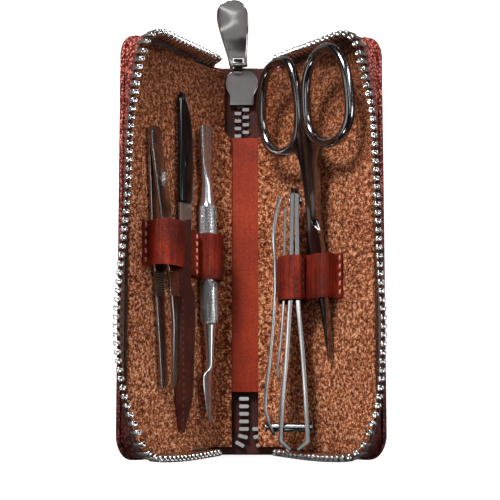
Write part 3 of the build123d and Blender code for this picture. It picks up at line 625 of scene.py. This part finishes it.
def row_lean(s, side):
    u, v, nu, nv = row_foot(s)
    if u >= U_FLAT:
        near = [between(LEAN_SIDE[side], v + step) for step in (-5, -2.5, 0, 2.5, 5)]
        return sum(near) / len(near) if nu > 0.999 else between(LEAN_SIDE[side], v)
    f = max(u - ROW_START, 0) / END_RUN
    flare = LEAN_SPINE_TOP * (1 - f) ** 1.8 if v > 0 else LEAN_LOW * math.sin(math.pi * f)
    return flare + LEAN_CORNER * f


def row_height(s):
    f = clamp(max(row_foot(s)[0] - ROW_START, 0) / RISE_U)
    return ROW_W_SPINE + (ROW_W_FULL - ROW_W_SPINE) * f - HIDE_T / 2


def row_point(s, side, along, across=0.0, down_row=0.0):
    """A point on the tape's wall: up it from its foot, across its thickness, and along the row."""
    u, v, nu, nv = row_foot(s)
    a = math.radians(row_lean(s, side))
    x = along * math.sin(a) + across * math.cos(a)
    w = HIDE_T / 2 + along * math.cos(a) - across * math.sin(a)
    return spot(side, u + nu * x + nv * down_row, v + nv * x - nu * down_row, w)


print("lean at the middle of a side, degrees:", {side: row_lean(ROW_LEN / 2, side) for side in (1, -1)})

# %% [markdown]
# ## Zip teeth
# Each tooth is a stamped metal element: two legs clamp the tape's corded edge and a rounded head
# with a hollow in its top stands beyond it. A box with a bevel would look like a bead, so rings of
# points run from the legs up into the hollow and give the soft, worn edges that sparkle along the row.

# %% One tooth
TOOTH_RINGS = [  # height, half length along the row, half width across
    (-2.4, 0.45, 0.95), (-2.3, 0.58, 1.12), (0.1, 0.60, 1.15), (0.55, 0.80, 1.15), (0.8, 0.90, 1.15),
    (1.75, 0.90, 1.12), (2.15, 0.82, 1.02), (2.38, 0.62, 0.85), (2.36, 0.50, 0.66), (2.05, 0.34, 0.44),
    (1.95, 0.16, 0.2)]
TOOTH_SIDES, TOOTH_SQUARE = 16, 3.2


def tooth_points(s, side):
    """A tooth's points, ring by ring, standing on the row at arc length s."""
    points = []
    for h, half_l, half_w in TOOTH_RINGS:
        for a, x, y in ring(TOOTH_SIDES, TOOTH_SQUARE):
            points.append(row_point(s, side, row_height(s) + h, half_w * y, half_l * x))
    return points


print("points in a tooth:", len(tooth_points(0, 1)))

# %% Both rows of teeth
TOOTH_COUNT = int(ROW_LEN / TOOTH_PITCH)
FIRST_TOOTH = (ROW_LEN - (TOOTH_COUNT - 1) * TOOTH_PITCH) / 2
WORD = {1: "right", -1: "left"}
HALF = {side: f"{word}_half" for side, word in WORD.items()}
for side in (1, -1):
    verts, faces = [], []
    for i in range(TOOTH_COUNT):
        faces += skin(len(verts), len(TOOTH_RINGS), TOOTH_SIDES)
        verts += tooth_points(FIRST_TOOTH + i * TOOTH_PITCH, side)
    teeth = add_mesh(f"{WORD[side]}_teeth_fine", verts, faces, MAT["zip_metal"], angle=60)
    finish_piece(teeth, HALF[side], "zip_metal", f"{WORD[side]}_teeth")
    print(WORD[side], "teeth:", TOOTH_COUNT)

# %% [markdown]
# ## Zip tape
# A woven ribbon, folded up from between leather and lining. Its ribs run up the wall; the edge that
# holds the teeth is a thicker cord. The outside of the wall is faced with the cover's leather. Cloth
# simulation would let it sag, but the teeth fix its edge, so a slight wave drawn in is enough.

# %% Both tapes
TAPE_STEPS, TAPE_ROWS = 520, 9
TAPE_LOOP = 2 * TAPE_ROWS + 2
TAPE_SUNK, TAPE_GRIP = 0.1, 0.9
CORD_FROM, CORD_RUN, CORD_SWELL = 0.82, 0.15, 0.35


def tape_section(s, side):
    """The tape's outline at arc length s: up its outer face and down its inner face."""
    top = row_height(s) - TOOTH_H / 2 + TAPE_GRIP
    wave = 0.12 * math.sin(s * 0.35) + 0.08 * math.sin(s * 0.83 + 1)
    points = []
    for face, rows in ((1, range(TAPE_ROWS + 1)), (-1, range(TAPE_ROWS, -1, -1))):
        for k in rows:
            t = k / TAPE_ROWS
            half = TAPE_T / 2 * (1 + CORD_SWELL * ease((t - CORD_FROM) / CORD_RUN))
            across = face * half + wave * math.sin(math.pi * t)
            points.append(row_point(s, side, -TAPE_SUNK + (top + TAPE_SUNK) * t, across))
    return points


for side in (1, -1):
    verts = [p for i in range(TAPE_STEPS + 1) for p in tape_section(ROW_LEN * i / TAPE_STEPS, side)]
    faces = skin(0, TAPE_STEPS + 1, TAPE_LOOP)
    tape = add_mesh(f"{WORD[side]}_tape_fine", verts, faces, MAT["zip_tape"], angle=70)
    tape.data.materials.append(MAT["grained_leather"])
    for i, poly in enumerate(tape.data.polygons[:TAPE_STEPS * TAPE_LOOP]):
        poly.material_index = 1 if i % TAPE_LOOP < TAPE_ROWS - 1 else 0
    finish_piece(tape, HALF[side], "zip_tape", f"{WORD[side]}_zip_tape")
    print(WORD[side], "tape faces:", len(tape.data.polygons))

# %% [markdown]
# ## Lining
# One piece of suede a side, cut with a raw edge. It runs down the panel, turns over the fold and
# lies on the edge of the spine's strip. It is never quite flat: it waves a little, and it is pressed
# in a line where it was stitched near its low end. It is glued down, so nothing in it would fall in a
# simulation; it is drawn as a sheet along one line.

# %% The lining's line, from strip to edge
LINING_TOP, LINING_T = 2.9, 1.0
IN_TAPE = TAPE_INSET + TAPE_T / 2 + 0.15
LINING_EDGE_U = PANEL_W - IN_TAPE
LINING_R = CORNER_R - IN_TAPE
LINING_STEP = 0.8
FOLD_LINE = {1: [(4.0, 7.0), (6.4, 7.02), (8.3, 7.3), (9.6, 8.15), (10.75, 9.6)],
             -1: [(4.9, 7.0), (6.4, 7.02), (8.2, 7.3), (9.5, 8.2), (10.55, 9.5)]}


def lining_profile(side):
    """Top line of the lining from the strip to the panel's edge: (x, z) places and their u."""
    pts = [Vector((x, z)) for x, z in FOLD_LINE[side]]
    n_fold = len(pts)
    us = [2.0]
    while us[-1] + LINING_STEP < LINING_EDGE_U:
        us.append(us[-1] + LINING_STEP)
    for u in us + [LINING_EDGE_U]:
        place = spot(side, u, 0, LINING_TOP) / MM
        pts.append(Vector((side * place.x, place.z)))
    smooth = []
    for i in range(n_fold):
        p0, p1, p2, p3 = pts[max(i - 1, 0)], pts[i], pts[i + 1], pts[min(i + 2, len(pts) - 1)]
        for t in (0.0, 0.25, 0.5, 0.75):
            smooth.append(0.5 * ((2 * p1) + (p2 - p0) * t + (2 * p0 - 5 * p1 + 4 * p2 - p3) * t * t
                                 + (3 * p1 - p0 - 3 * p2 + p3) * t ** 3))
    return smooth + pts[n_fold:]


print("points across a lining:", len(lining_profile(1)))

# %% The lining's ends, edge and waves
NOTCH_V, NOTCH_U, NOTCH_RUN = HALF_V - 2.9, 11.5, 1.5
STRIP_EDGE = {1: (4.0, 2.2), -1: (4.9, 2.6)}  # where the edge lies, and how far it is cut back
CUT_BACK_V, CUT_BACK_RUN, CUT_BACK_REACH = 38.5, 3.5, 2.5
PRESSED_V = MID_V - HALF_V + 5.2


def lining_reach(u):
    """How far the lining reaches along the spine, either way from its middle, at this u."""
    if u < NOTCH_U:
        return NOTCH_V
    full = NOTCH_V + (HALF_V - IN_TAPE - NOTCH_V) * ease((u - NOTCH_U) / NOTCH_RUN)
    past = u - (LINING_EDGE_U - LINING_R)
    if past > 0:
        full -= LINING_R - math.sqrt(max(LINING_R ** 2 - past ** 2, 0))
    return full


def inner_edge(side, v):
    """The lining's edge along the strip; it is cut back beside the slider."""
    edge, cut = STRIP_EDGE[side]
    return edge + cut * ease((v - CUT_BACK_V) / CUT_BACK_RUN)


def on_line(line, x):
    for p, q in zip(line, line[1:]):
        if q.x >= x:
            return p + (q - p) * clamp((x - p.x) / max(q.x - p.x, 1e-6))
    return line[-1]


def cut_back(side, line, i, v):
    """The i-th point of the line, drawn away from the strip where the edge is cut back."""
    cut = inner_edge(side, v)
    p, first = line[i], line[0].x
    if i >= 20 or p.x >= cut + CUT_BACK_REACH:
        return p
    return on_line(line, cut + (p.x - first) * CUT_BACK_REACH / (cut + CUT_BACK_REACH - first))


def lining_wave(side, u, v):
    """How far the lining stands off its line: broad waves, small ones, and the pressed seam."""
    wave = noise.noise(Vector((u * 0.06, v * 0.035, side * 3.0))) * 0.5 * ease((u - 2) / 8)
    wave += noise.noise(Vector((u * 0.22, v * 0.18, side * 5.0))) * 0.12
    wave *= ease((HALF_V - 3 - abs(v - MID_V)) / 6) * ease((LINING_EDGE_U - 1 - u) / 5)
    seam = -0.35 * math.exp(-((v - PRESSED_V) / 0.35) ** 2) * ease((u - 8) / 2)
    return clamp(wave, -0.15, 0.12) + seam


print("edge cut back beside the slider, mm:", [cut for edge, cut in STRIP_EDGE.values()])

# %% Both linings
LINING_N_V = 150


def lining_rows(side, line, i):
    """The upper and lower points of the lining across the spine's length, at the line's i-th point."""
    a, last = math.radians(TILT[side]), len(line) - 1
    p = line[i]
    q = line[min(i + 1, last)] - line[max(i - 1, 0)]
    q.normalize()
    nrm = Vector((-q.y, q.x))
    u = (p.x - FOLD_X) * math.cos(a) + (p.y - FOLD_Z) * math.sin(a)
    reach = lining_reach(u)
    tops, lows = [], []
    for k in range(LINING_N_V + 1):
        v = MID_V + reach * (2 * k / LINING_N_V - 1)
        edge = min(reach - abs(v - MID_V), i * 0.4 if i < 4 else 9, (last - i) * LINING_STEP)
        droop = -0.28 * (1 - ease(edge / 0.7))
        base = cut_back(side, line, i, v)
        for row, off in ((tops, lining_wave(side, u, v) + droop), (lows, -LINING_T)):
            x, z = base.x + nrm.x * off, base.y + nrm.y * off
            row.append(Vector((side * x * MM, v * MM, z * MM)))
    return tops, lows


for side in (1, -1):
    line = lining_profile(side)
    rows = [lining_rows(side, line, i) for i in range(len(line))]
    verts = [p for tops, lows in rows for p in tops] + [p for tops, lows in rows for p in lows]
    n_u, n_k = len(line), LINING_N_V + 1
    below = n_u * n_k
    faces = []
    for i in range(n_u - 1):
        for k in range(LINING_N_V):
            q = (i * n_k + k, i * n_k + k + 1, (i + 1) * n_k + k + 1, (i + 1) * n_k + k)
            faces += [q, tuple(x + below for x in reversed(q))]
    rim = [i * n_k for i in range(n_u)] + [(n_u - 1) * n_k + k for k in range(1, n_k)]
    rim += [i * n_k + LINING_N_V for i in range(n_u - 2, -1, -1)] + list(range(LINING_N_V - 1, 0, -1))
    faces += [(p, q, q + below, p + below) for p, q in zip(rim, rim[1:] + rim[:1])]
    lining = add_mesh(f"{WORD[side]}_lining_fine", verts, faces, MAT["suede"], angle=60)
    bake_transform(lining)
    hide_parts(f"{WORD[side]}_lining")
    print(WORD[side], "lining points:", len(lining.data.vertices))

# %% [markdown]
# ## Straps
# Each strap is one thin band of waxed leather, sewn down between its loops. A flat strip with a bevel
# would show kinks where it turns over a tool, so the run's corners are cut away three times over, and
# the band is drawn along it with its raw edges slightly rounded.

# %% The straps' runs
STRAP_T = 0.7
FLAT_W = LINING_TOP + STRAP_T / 2 + 0.02
STRAP_LINE = {
    -1: [(40.8, FLAT_W), (38.2, FLAT_W), (38.6, 5.2), (41.2, 8.6), (40.4, 12.0), (36.2, 13.7),
         (31.6, 12.6), (28.8, 7.6), (25.6, 7.1), (20.0, 7.1), (15.9, 7.3), (15.1, FLAT_W),
         (13.1, FLAT_W), (13.1, 6.4), (12.6, 9.6), (9.4, 10.5), (5.9, 10.0),
         (4.9, 6.8), (4.6, FLAT_W), (1.6, FLAT_W)],
    1: [(12.2, FLAT_W), (8.9, FLAT_W), (8.6, 8.85), (11.3, 11.45), (14.4, 14.0), (16.7, 16.15),
        (20.4, 16.8), (22.8, 15.55), (24.2, 12.25), (13.22, FLAT_W), (14.9, FLAT_W),
        (22.75, 10.15), (29.6, 9.9), (31.0, 8.2), (30.7, FLAT_W), (33.0, FLAT_W)]}
STRAP_ENDS = {-1: ((3.9, -11.1), (6.5, -7.6)), 1: ((-4.9, -18.7), (-2.6, -16.6))}


def eased(points, rounds=3, cut=0.17):
    """Corner cutting: every bend of an open line turns into a soft curve."""
    pts = [Vector(p) for p in points]
    for _ in range(rounds):
        new = [pts[0]]
        for p, q in zip(pts, pts[1:]):
            new += [p * (1 - cut) + q * cut, p * cut + q * (1 - cut)]
        pts = new + [pts[-1]]
    return pts


def strap_span(side, u):
    (t0, l0), (t1, l1) = STRAP_ENDS[side]
    f = (u + 2) / 48
    return t0 + (t1 - t0) * f, l0 + (l1 - l0) * f


print("points along each strap:", {WORD[side]: len(eased(STRAP_LINE[side])) for side in (1, -1)})

# %% Both straps
STRAP_N_V = 28
EDGE_THIN, EDGE_RUN = 0.45, 14
WELT_V, WELT_LEN = -17.3, 13.2
WELT = ((24.1, 11.95), (24.0, 11.2), (22.7, 10.05), (22.5, 10.9))  # where the two loops are sewn


def strap_section(side, line, i):
    """The band's outline at one point of its run: along its upper face and back along its lower."""
    p = line[i]
    q = line[min(i + 1, len(line) - 1)] - line[max(i - 1, 0)]
    q.normalize()
    n = Vector((-q.y, q.x)) * (STRAP_T / 2) * side
    top_v, low_v = strap_span(side, p.x)
    upper, lower = [], []
    for k in range(STRAP_N_V + 1):
        t = k / STRAP_N_V
        v = low_v + (top_v - low_v) * t
        thin = 1 - EDGE_THIN * (1 - ease(min(t, 1 - t) * EDGE_RUN))
        sag = 0.10 * noise.noise(Vector((p.x * 0.5, v * 0.35, 2.0)))
        over, under = p + n * (thin + sag), p - n * thin
        upper.append(spot(side, over.x, v, over.y))
        lower.append(spot(side, under.x, v, under.y))
    return upper + lower[::-1]


for side in (-1, 1):
    line = eased(STRAP_LINE[side])
    verts = [p for i in range(len(line)) for p in strap_section(side, line, i)]
    faces = skin(0, len(line), 2 * (STRAP_N_V + 1))
    if side > 0:
        faces += skin(len(verts), STRAP_N_V + 1, len(WELT))
        for k in range(STRAP_N_V + 1):
            v = WELT_V + WELT_LEN * k / STRAP_N_V
            verts += [spot(1, u, v, w) for u, w in WELT]
    strap = add_mesh(f"{WORD[side]}_strap_fine", verts, faces, MAT["strap_leather"], angle=50)
    finish_piece(strap, HALF[side], "strap_leather", f"{WORD[side]}_strap")
    print(WORD[side], "strap points:", len(strap.data.vertices))

# %% [markdown]
# ## Stitches
# Pale pink thread, one short stitch after another, each a little sunk at its ends. Painted dashes
# would lie flat; short barrels that thin toward both ends catch the light and cast a small shadow.

# %% A row of stitches
SINK = 0.18
ON_STRAP = FLAT_W + STRAP_T / 2 + 0.12


def stitch_row(name, side, body, places, length, radius, slot, material, *nodes):
    """A row of stitches: each place is (u, v, w, turn) of its middle, lying along v."""
    verts, faces = [], []
    n_ring, n_side = 7, 8
    for u, v, w, turn in places:
        faces += skin(len(verts), n_ring, n_side)
        for r in range(n_ring):
            t = r / (n_ring - 1) * 2 - 1
            fat = radius * math.sqrt(max(1 - t ** 4, 0.02))
            for k in range(n_side):
                a = math.tau * k / n_side
                dv = t * length / 2
                du = math.cos(a) * fat + dv * turn
                verts.append(spot(side, u + du, v + dv, w + math.sin(a) * fat * 0.8 - SINK * t * t))
    ob = add_mesh(name, verts, faces, material, angle=80)
    print(name, "count:", len(places))
    return finish_piece(ob, body, slot, *nodes)


def spaced(v0, v1, count):
    return [v0 + (v1 - v0) * (i + 0.5) / count for i in range(count)]


# %% The straps' stitches
STRAP_ROWS = {  # u, w, where the row starts and ends, how many
    -1: ((39.7, ON_STRAP, -7.4, 6.0, 5), (17.6, 7.62, -9.4, 4.2, 6)),
    1: ((32.2, ON_STRAP, -16.8, -3.4, 5), (23.3, 11.75, -16.6, -4.2, 5))}
STITCH_L, STITCH_R, STITCH_TURN = 1.7, 0.33, 0.1
for side in (-1, 1):
    places = [(u, v, w, STITCH_TURN) for u, w, v0, v1, count in STRAP_ROWS[side]
              for v in spaced(v0, v1, count)]
    stitch_row(f"{WORD[side]}_stitches", side, HALF[side], places, STITCH_L, STITCH_R, "thread",
               MAT["thread"], f"{WORD[side]}_strap_thread")

# %% [markdown]
# ## The file's sheath
# Two leaves of thin dark leather sewn together down their edges. The upper leaf starts at the mouth
# and rides over the strap before it drops to the lining; the walls below it hold the blade's end. The
# leaf could be draped over the strap by simulation, but its middle line and height are few numbers,
# so it is drawn straight from them.

# %% The sheath's shape
SHEATH_U, MOUTH_V, MOUTH_SLANT, SHEATH_LEN = 20.5, 7.4, 0.9, 66.9
STRAP_EDGE_V, STRAP_EDGE_RUN = -17.5, 6.5
SHEATH_HALF = [(7.4, 3.6), (-9, 3.6), (-16, 3.95), (-30, 3.8), (-50, 2.85), (-57.5, 1.2), (-59.5, 0.5)]


def table_at(table, v):
    for (v0, a), (v1, b) in zip(table, table[1:]):
        if v >= v1:
            return a + (b - a) * (v0 - v) / (v0 - v1)
    return table[-1][1]


def on_strap(v):
    """1 where the sheath lies on the strap, 0 where it has come down to the lining."""
    return ease((v - STRAP_EDGE_V) / STRAP_EDGE_RUN)


def sheath_top(v):
    return 6.4 + 1.55 * on_strap(v) - 1.5 * ease((-46 - v) / 13)


def sheath_middle(v):
    return SHEATH_U + 4.6 * on_strap(v)


print("height of the leaf above the panel, on and off the strap, mm:", sheath_top(0), sheath_top(-40))

# %% The upper leaf
LEAF_N_V, LEAF_N_U = 130, 14


def leaf_section(t):
    """The leaf's outline a fraction t of the way down: across its top and back across its underside."""
    upper, lower = [], []
    for k in range(LEAF_N_U + 1):
        e = 2 * k / LEAF_N_U - 1
        v = MOUTH_V - MOUTH_SLANT * e - (SHEATH_LEN - MOUTH_SLANT * e) * t
        ride = on_strap(v)
        u = sheath_middle(v) + table_at(SHEATH_HALF, v) * e
        wobble = 0.12 * noise.noise(Vector((e * 2, v * 0.12, 9))) * (1 - 0.8 * ride)
        w = sheath_top(v) + (0.35 - 0.27 * ride) * (1 - e * e) + wobble
        thick = 0.6 - 0.15 * ride - 0.2 * ease((abs(e) - 0.8) / 0.2)
        upper.append(spot(-1, u, v, w))
        lower.append(spot(-1, u, v, w - thick))
    return upper + lower[::-1]


leaf_verts = [p for i in range(LEAF_N_V + 1) for p in leaf_section(i / LEAF_N_V)]
leaf_faces = skin(0, LEAF_N_V + 1, 2 * (LEAF_N_U + 1))
print("leaf points:", len(leaf_verts))

# %% The wall under it
WALL_FROM, WALL_TO, WALL_STEPS = -16.5, -58.6, 44
WALL_INSET, WALL_T = 0.12, 0.4
wall = [WALL_FROM + i * (WALL_TO - WALL_FROM) / WALL_STEPS for i in range(WALL_STEPS + 1)]
walk = [(v, -1) for v in wall] + [(v, 1) for v in reversed(wall)]
wall_verts = []
for v, sign in walk:
    half = table_at(SHEATH_HALF, v) - WALL_INSET
    outer, inner = SHEATH_U + sign * half, SHEATH_U + sign * max(half - WALL_T, 0.05)
    low, high = LINING_TOP + 0.02, sheath_top(v) - 0.5
    wall_verts += [spot(-1, u, v, w) for u, w in ((outer, low), (outer, high), (inner, high), (inner, low))]
wall_faces = skin(len(leaf_verts), len(walk), 4)
sheath = add_mesh("file_sheath_fine", leaf_verts + wall_verts, leaf_faces + wall_faces,
                  MAT["sheath_leather"], angle=50)
finish_piece(sheath, "left_half", "sheath_leather", "file_sheath")
print("sheath points:", len(sheath.data.vertices))

# %% The sheath's stitches
EDGE_TURN = ((-30, 0.0), (-50, 0.055), (-99, 0.24))  # above this v, the edge runs in at this slope
sheath_places = []
for i in range(18):
    v = -18.0 - i * 2.2
    turn = next(slope for floor_v, slope in EDGE_TURN if v > floor_v)
    for sign in (1, -1):
        u = SHEATH_U + sign * (table_at(SHEATH_HALF, v) - 0.55)
        sheath_places.append((u, v, sheath_top(v) + 0.20, sign * turn))
stitch_row("sheath_stitches", -1, "left_half", sheath_places, 1.2, 0.16, "thread", MAT["dark_thread"],
           "sheath_thread")

# %% [markdown]
# ## The file's handle
# A moulded black grip, bullet shaped, its end drawn a little to one side and lying a little lower. A
# subdivided box could be pulled to shape; a loft through ten measured sections is surer.

# %% Handle
HANDLE_SECTIONS = [  # v, middle u, half width, middle w, half thickness
    (13.8, 20.5, 3.0, 4.95, 1.1), (14.0, 20.5, 3.4, 4.95, 1.3), (14.8, 20.5, 3.6, 4.95, 1.35),
    (31, 20.5, 3.6, 4.95, 1.35), (38, 20.8, 3.4, 4.85, 1.3), (43, 21.3, 3.0, 4.7, 1.2),
    (46.5, 21.8, 2.4, 4.6, 1.1), (48.8, 22.2, 1.6, 4.5, 0.9), (49.9, 22.4, 0.8, 4.45, 0.55),
    (50.2, 22.45, 0.2, 4.45, 0.15)]
HANDLE_ROUND, HANDLE_SQUARE = 48, 2.6
verts = [spot(-1, u_mid + half_u * x, v, w_mid + half_w * y)
         for v, u_mid, half_u, w_mid, half_w in HANDLE_SECTIONS
         for a, x, y in ring(HANDLE_ROUND, HANDLE_SQUARE)]
faces = skin(0, len(HANDLE_SECTIONS), HANDLE_ROUND)
handle = add_mesh("nail_file_handle_fine", verts, faces, MAT["black_handle"], angle=60)
finish_piece(handle, "nail_file", "black_handle", "nail_file_handle")
print("handle length, mm:", round(HANDLE_SECTIONS[-1][0] - HANDLE_SECTIONS[0][0], 1))

# %% [markdown]
# ## The cuticle tool
# One turned rod: a flat pusher at the top, two knurled grips, and a little knife at the low end. It
# is drawn as one skin through sections down its length. A bump map could fake the knurling, but its
# outline shows, so on the grips the skin itself follows a chevron.

# %% Sections and knurling
CUT_U, CUT_W, CUT_TURN = 9.1, 6.1, math.radians(-2.0)
ROUND_PART = ((21, 1.7), (16.5, 2.2), (14.5, 2.5), (14.0, 2.85), (4.0, 2.85), (3.6, 2.5), (-10.6, 2.5),
              (-11, 2.85), (-24.2, 2.85), (-24.9, 2.1), (-29, 1.75), (-36, 1.3))  # v, radius
CUT_SECTIONS = [  # v, low and high u, low and high w, squareness
    (41.0, -2.2, 2.2, -0.5, 0.3, 3), (40.7, -2.8, 2.8, -0.7, 0.5, 5), (31, -2.55, 2.55, -0.7, 0.5, 5),
    (28, -2.3, 2.3, -0.8, 0.55, 4), (25.5, -1.95, 1.95, -1.2, 0.75, 3), (23.5, -1.7, 1.7, -1.5, 1.2, 2.3),
    *[(v, -r, r, -r, r, 2) for v, r in ROUND_PART],
    (-38.8, -1.15, 1.15, -1.05, 1.05, 2), (-39.3, -1.15, 1.6, -0.95, 0.95, 1.8),
    (-40.4, -1.15, 3.2, -0.7, 0.7, 1.6), (-42.0, -1.2, 4.0, -0.6, 0.6, 1.5),
    (-46, -1.2, 3.8, -0.6, 0.6, 1.5), (-52.5, -0.8, 2.4, -0.4, 0.4, 1.5),
    (-56.4, 0.0, 0.9, -0.2, 0.2, 1.6), (-57.2, 0.25, 0.4, -0.05, 0.05, 2)]
GRIPS = ((4.0, 14.0), (-24.2, -11.0))
CHEVRON_PITCH, CHEVRON_SLOPE, KNURL_DEPTH, KNURL_RIDGE = 1.05, 3.0, 0.5, 0.62
UP = math.atan2(math.cos(math.radians(TILT[-1])), math.sin(math.radians(TILT[-1])))


def on_cuticle(u, v, w):
    c, s = math.cos(CUT_TURN), math.sin(CUT_TURN)
    return spot(-1, CUT_U + u * c - v * s, u * s + v * c, CUT_W + w)


def knurl(v, angle):
    depth = max(ease(min(v - lo, hi - v) / 0.35) for lo, hi in GRIPS)
    if depth <= 0:
        return 0.0
    off = abs((angle - UP + math.pi) % (math.tau) - math.pi)
    phase = v / CHEVRON_PITCH - off * CHEVRON_SLOPE
    return depth * KNURL_DEPTH * (abs((phase % 1) * 2 - 1) - KNURL_RIDGE)


print("chevrons on the lower grip:", round((GRIPS[1][1] - GRIPS[1][0]) / CHEVRON_PITCH))

# %% The cuticle tool's skin
TOOL_ROUND = 120
GRIP_STEP, PLAIN_STEP = 0.13, 0.8
levels = []
for (v0, *a), (v1, *b) in zip(CUT_SECTIONS, CUT_SECTIONS[1:]):
    in_grip = any(hi >= v0 and v1 >= lo for lo, hi in GRIPS)
    steps = max(1, int(abs(v0 - v1) / (GRIP_STEP if in_grip else PLAIN_STEP)))
    for k in range(steps):
        t = k / steps
        levels.append((v0 + (v1 - v0) * t, *[x + (y - x) * t for x, y in zip(a, b)]))
levels.append(CUT_SECTIONS[-1])
verts = []
for v, u_low, u_high, w_low, w_high, square in levels:
    for a, x, y in ring(TOOL_ROUND, square):
        extra = knurl(v, a)
        u = (u_low + u_high) / 2 + x * (u_high - u_low) / 2 + math.cos(a) * extra
        w = (w_low + w_high) / 2 + y * (w_high - w_low) / 2 + math.sin(a) * extra
        verts.append(on_cuticle(u, v, w))
faces = skin(0, len(levels), TOOL_ROUND)
tool = add_mesh("cuticle_tool_fine", verts, faces, MAT["satin_steel"], angle=35)
print("cuticle tool rings:", len(levels))

# %% [markdown]
# ## Painted shade in the grooves
# The knurling's grooves are painted dark, as painted shade, so that its tops read bright. The shade
# could come from an occlusion node, but the knurl's own depth is known at each point, so it is stored
# as an attribute, which the satin finish reads.

# %% The painted groove shade attribute
GROOVE_FULL = 0.3
groove_shade = tool.data.attributes.new("groove_shade", "FLOAT", "POINT")
back = on_cuticle(0, 0, 0)
axis = (on_cuticle(0, 1, 0) - back).normalized()
side_u = (on_cuticle(1, 0, 0) - back).normalized()
side_w = (on_cuticle(0, 0, 1) - back).normalized()
# painted shade: each point's darkness grows with how deep it lies in a groove
for i, vert in enumerate(tool.data.vertices):
    off = vert.co - back
    dig = knurl(off.dot(axis) / MM, math.atan2(off.dot(side_w), off.dot(side_u)))
    groove_shade.data[i].value = clamp(-dig / GROOVE_FULL)
finish_piece(tool, "cuticle", "satin_steel", "cuticle_tool")
print("points in a groove:", sum(g.value > 0 for g in groove_shade.data))

# %% [markdown]
# ## Camera
# The case is seen from almost straight above its lower end, through a long lens, with the spine's
# length up the picture. A camera that tracks an empty would do, but looking nearly straight down it
# could roll, so its three axes are written out.

# %% Camera
CAM_PLACE, CAM_AIM, CAM_LENS = (1.2, -49.6, 440), (1.2, -0.5, 20), 93.1
cam_data = bpy.data.cameras.new("camera")
cam_data.lens = CAM_LENS
cam_data.sensor_width = 36
cam = bpy.data.objects.new("camera", cam_data)
bpy.context.scene.collection.objects.link(cam)
cam.location = Vector(CAM_PLACE) * MM
aim = Vector(CAM_AIM) * MM
ahead = (aim - cam.location).normalized()
right = ahead.cross(Vector((0, 1, 0))).normalized()
up = right.cross(ahead)
cam.matrix_world = Matrix((
    (right.x, up.x, -ahead.x, cam.location.x),
    (right.y, up.y, -ahead.y, cam.location.y),
    (right.z, up.z, -ahead.z, cam.location.z),
    (0, 0, 0, 1)))
bpy.context.scene.camera = cam
print("camera to aim, mm:", round((aim - cam.location).length / MM))

# %% [markdown]
# ## Surround
# The object stands in a white sweep. A plain white world would also fill every mirror with white, so
# the world is white only to the camera, a soft grey where it lights, and near black where it is
# mirrored.

# %% World
world = bpy.data.worlds.new("surround")
bpy.context.scene.world = world
world.use_nodes = True
wt = world.node_tree
wt.nodes.clear()
path = node(wt, "LightPath").outputs
SKY = {"seen": ((1, 1, 1, 1), 1.0), "fill": ((1.0, 0.98, 0.96, 1), 0.16), "mirror": ((1, 1, 1, 1), 0.015)}
sky = {what: node(wt, "Background", in_Color=colour, in_Strength=strength).outputs[0]
       for what, (colour, strength) in SKY.items()}


def pick(ray, no, yes):
    """One shader for rays of a kind, another for the rest."""
    n = node(wt, "MixShader")
    for socket, link in zip(n.inputs, (path[ray], no, yes)):
        wt.links.new(link, socket)
    return n.outputs[0]


lit = pick("Is Glossy Ray", sky["fill"], sky["mirror"])
node(wt, "OutputWorld", in_Surface=pick("Is Camera Ray", lit, sky["seen"]))
print("strengths of the surround:", {what: strength for what, (colour, strength) in SKY.items()})

# %% [markdown]
# ## Lights
# The key light stands beyond the slider end, to the left, and leaves the walls' shadow in the tray.
# One large light would be softer, but then the tools would lose their bands: a long strip to the right
# and a dim card to the left draw the bright bands on round steel, and a dim card overhead greys the
# flat zip parts.

# %% Lights
def soft_light(name, place, target, size, power, colour=(1, 1, 1)):
    data = bpy.data.lights.new(name, "AREA")
    data.shape = "RECTANGLE"
    data.size, data.size_y = size[0] * MM, size[1] * MM
    data.energy = power
    data.color = colour
    ob = bpy.data.objects.new(name, data)
    bpy.context.scene.collection.objects.link(ob)
    ob.location = Vector(place) * MM
    direction = (Vector(target) - Vector(place)).normalized()
    ob.rotation_euler = direction.to_track_quat("-Z", "Y").to_euler()
    return ob


key = soft_light("key", (-190, 420, 440), (0, 0, 15), (160, 160), 4.4, (1.0, 0.985, 0.96))
key.data.specular_factor = 0.3
soft_light("strip_right", (270, 230, 330), (10, 20, 20), (80, 260), 0.75)
soft_light("right_fill", (330, -40, 300), (0, 0, 20), (160, 160), 0.42)
soft_light("card_left", (-330, -10, 170), (0, 0, 20), (260, 300), 0.18)
soft_light("low_left", (-150, -300, 260), (0, 0, 20), (60, 60), 0.14)
soft_light("overhead", (0, 80, 600), (0, 80, 0), (230, 400), 0.135)
soft_light("overhead_strip", (-90, 60, 600), (0, 0, 20), (30, 300), 0.07)
print("lights:", len(bpy.data.lights))

# %% [markdown]
# ## Floor
# The sweep the case lies on, which takes its soft shadow. A plain white sheet would come out grey, so
# it glows to the camera alone, and it is dark where steel mirrors it.

# %% Floor
FLOOR_HALF, FLOOR_Z, FLOOR_GLOW = 2, -0.0002, 0.72
corners = [Vector((x * FLOOR_HALF, y * FLOOR_HALF, FLOOR_Z)) for x, y in ((-1, -1), (1, -1), (1, 1), (-1, 1))]
fm, ft, fb = new_material("floor_white")[:3]
floor = add_mesh("floor", corners, [(0, 1, 2, 3)], fm, False)
fpath = node(ft, "LightPath").outputs
dress(ft, fb, Roughness=0.6, Emission_Color=(1, 1, 1, 1),
      Emission_Strength=times(ft, fpath["Is Camera Ray"], FLOOR_GLOW),
      Base_Color=mix_color(ft, fpath["Is Glossy Ray"], (0.9, 0.9, 0.9), (0.10, 0.09, 0.085), "MIX"))
print("floor half width, m:", FLOOR_HALF)

# %% [markdown]
# ## The end

# %% Finish
scene = bpy.context.scene
scene.view_settings.view_transform = "Standard"
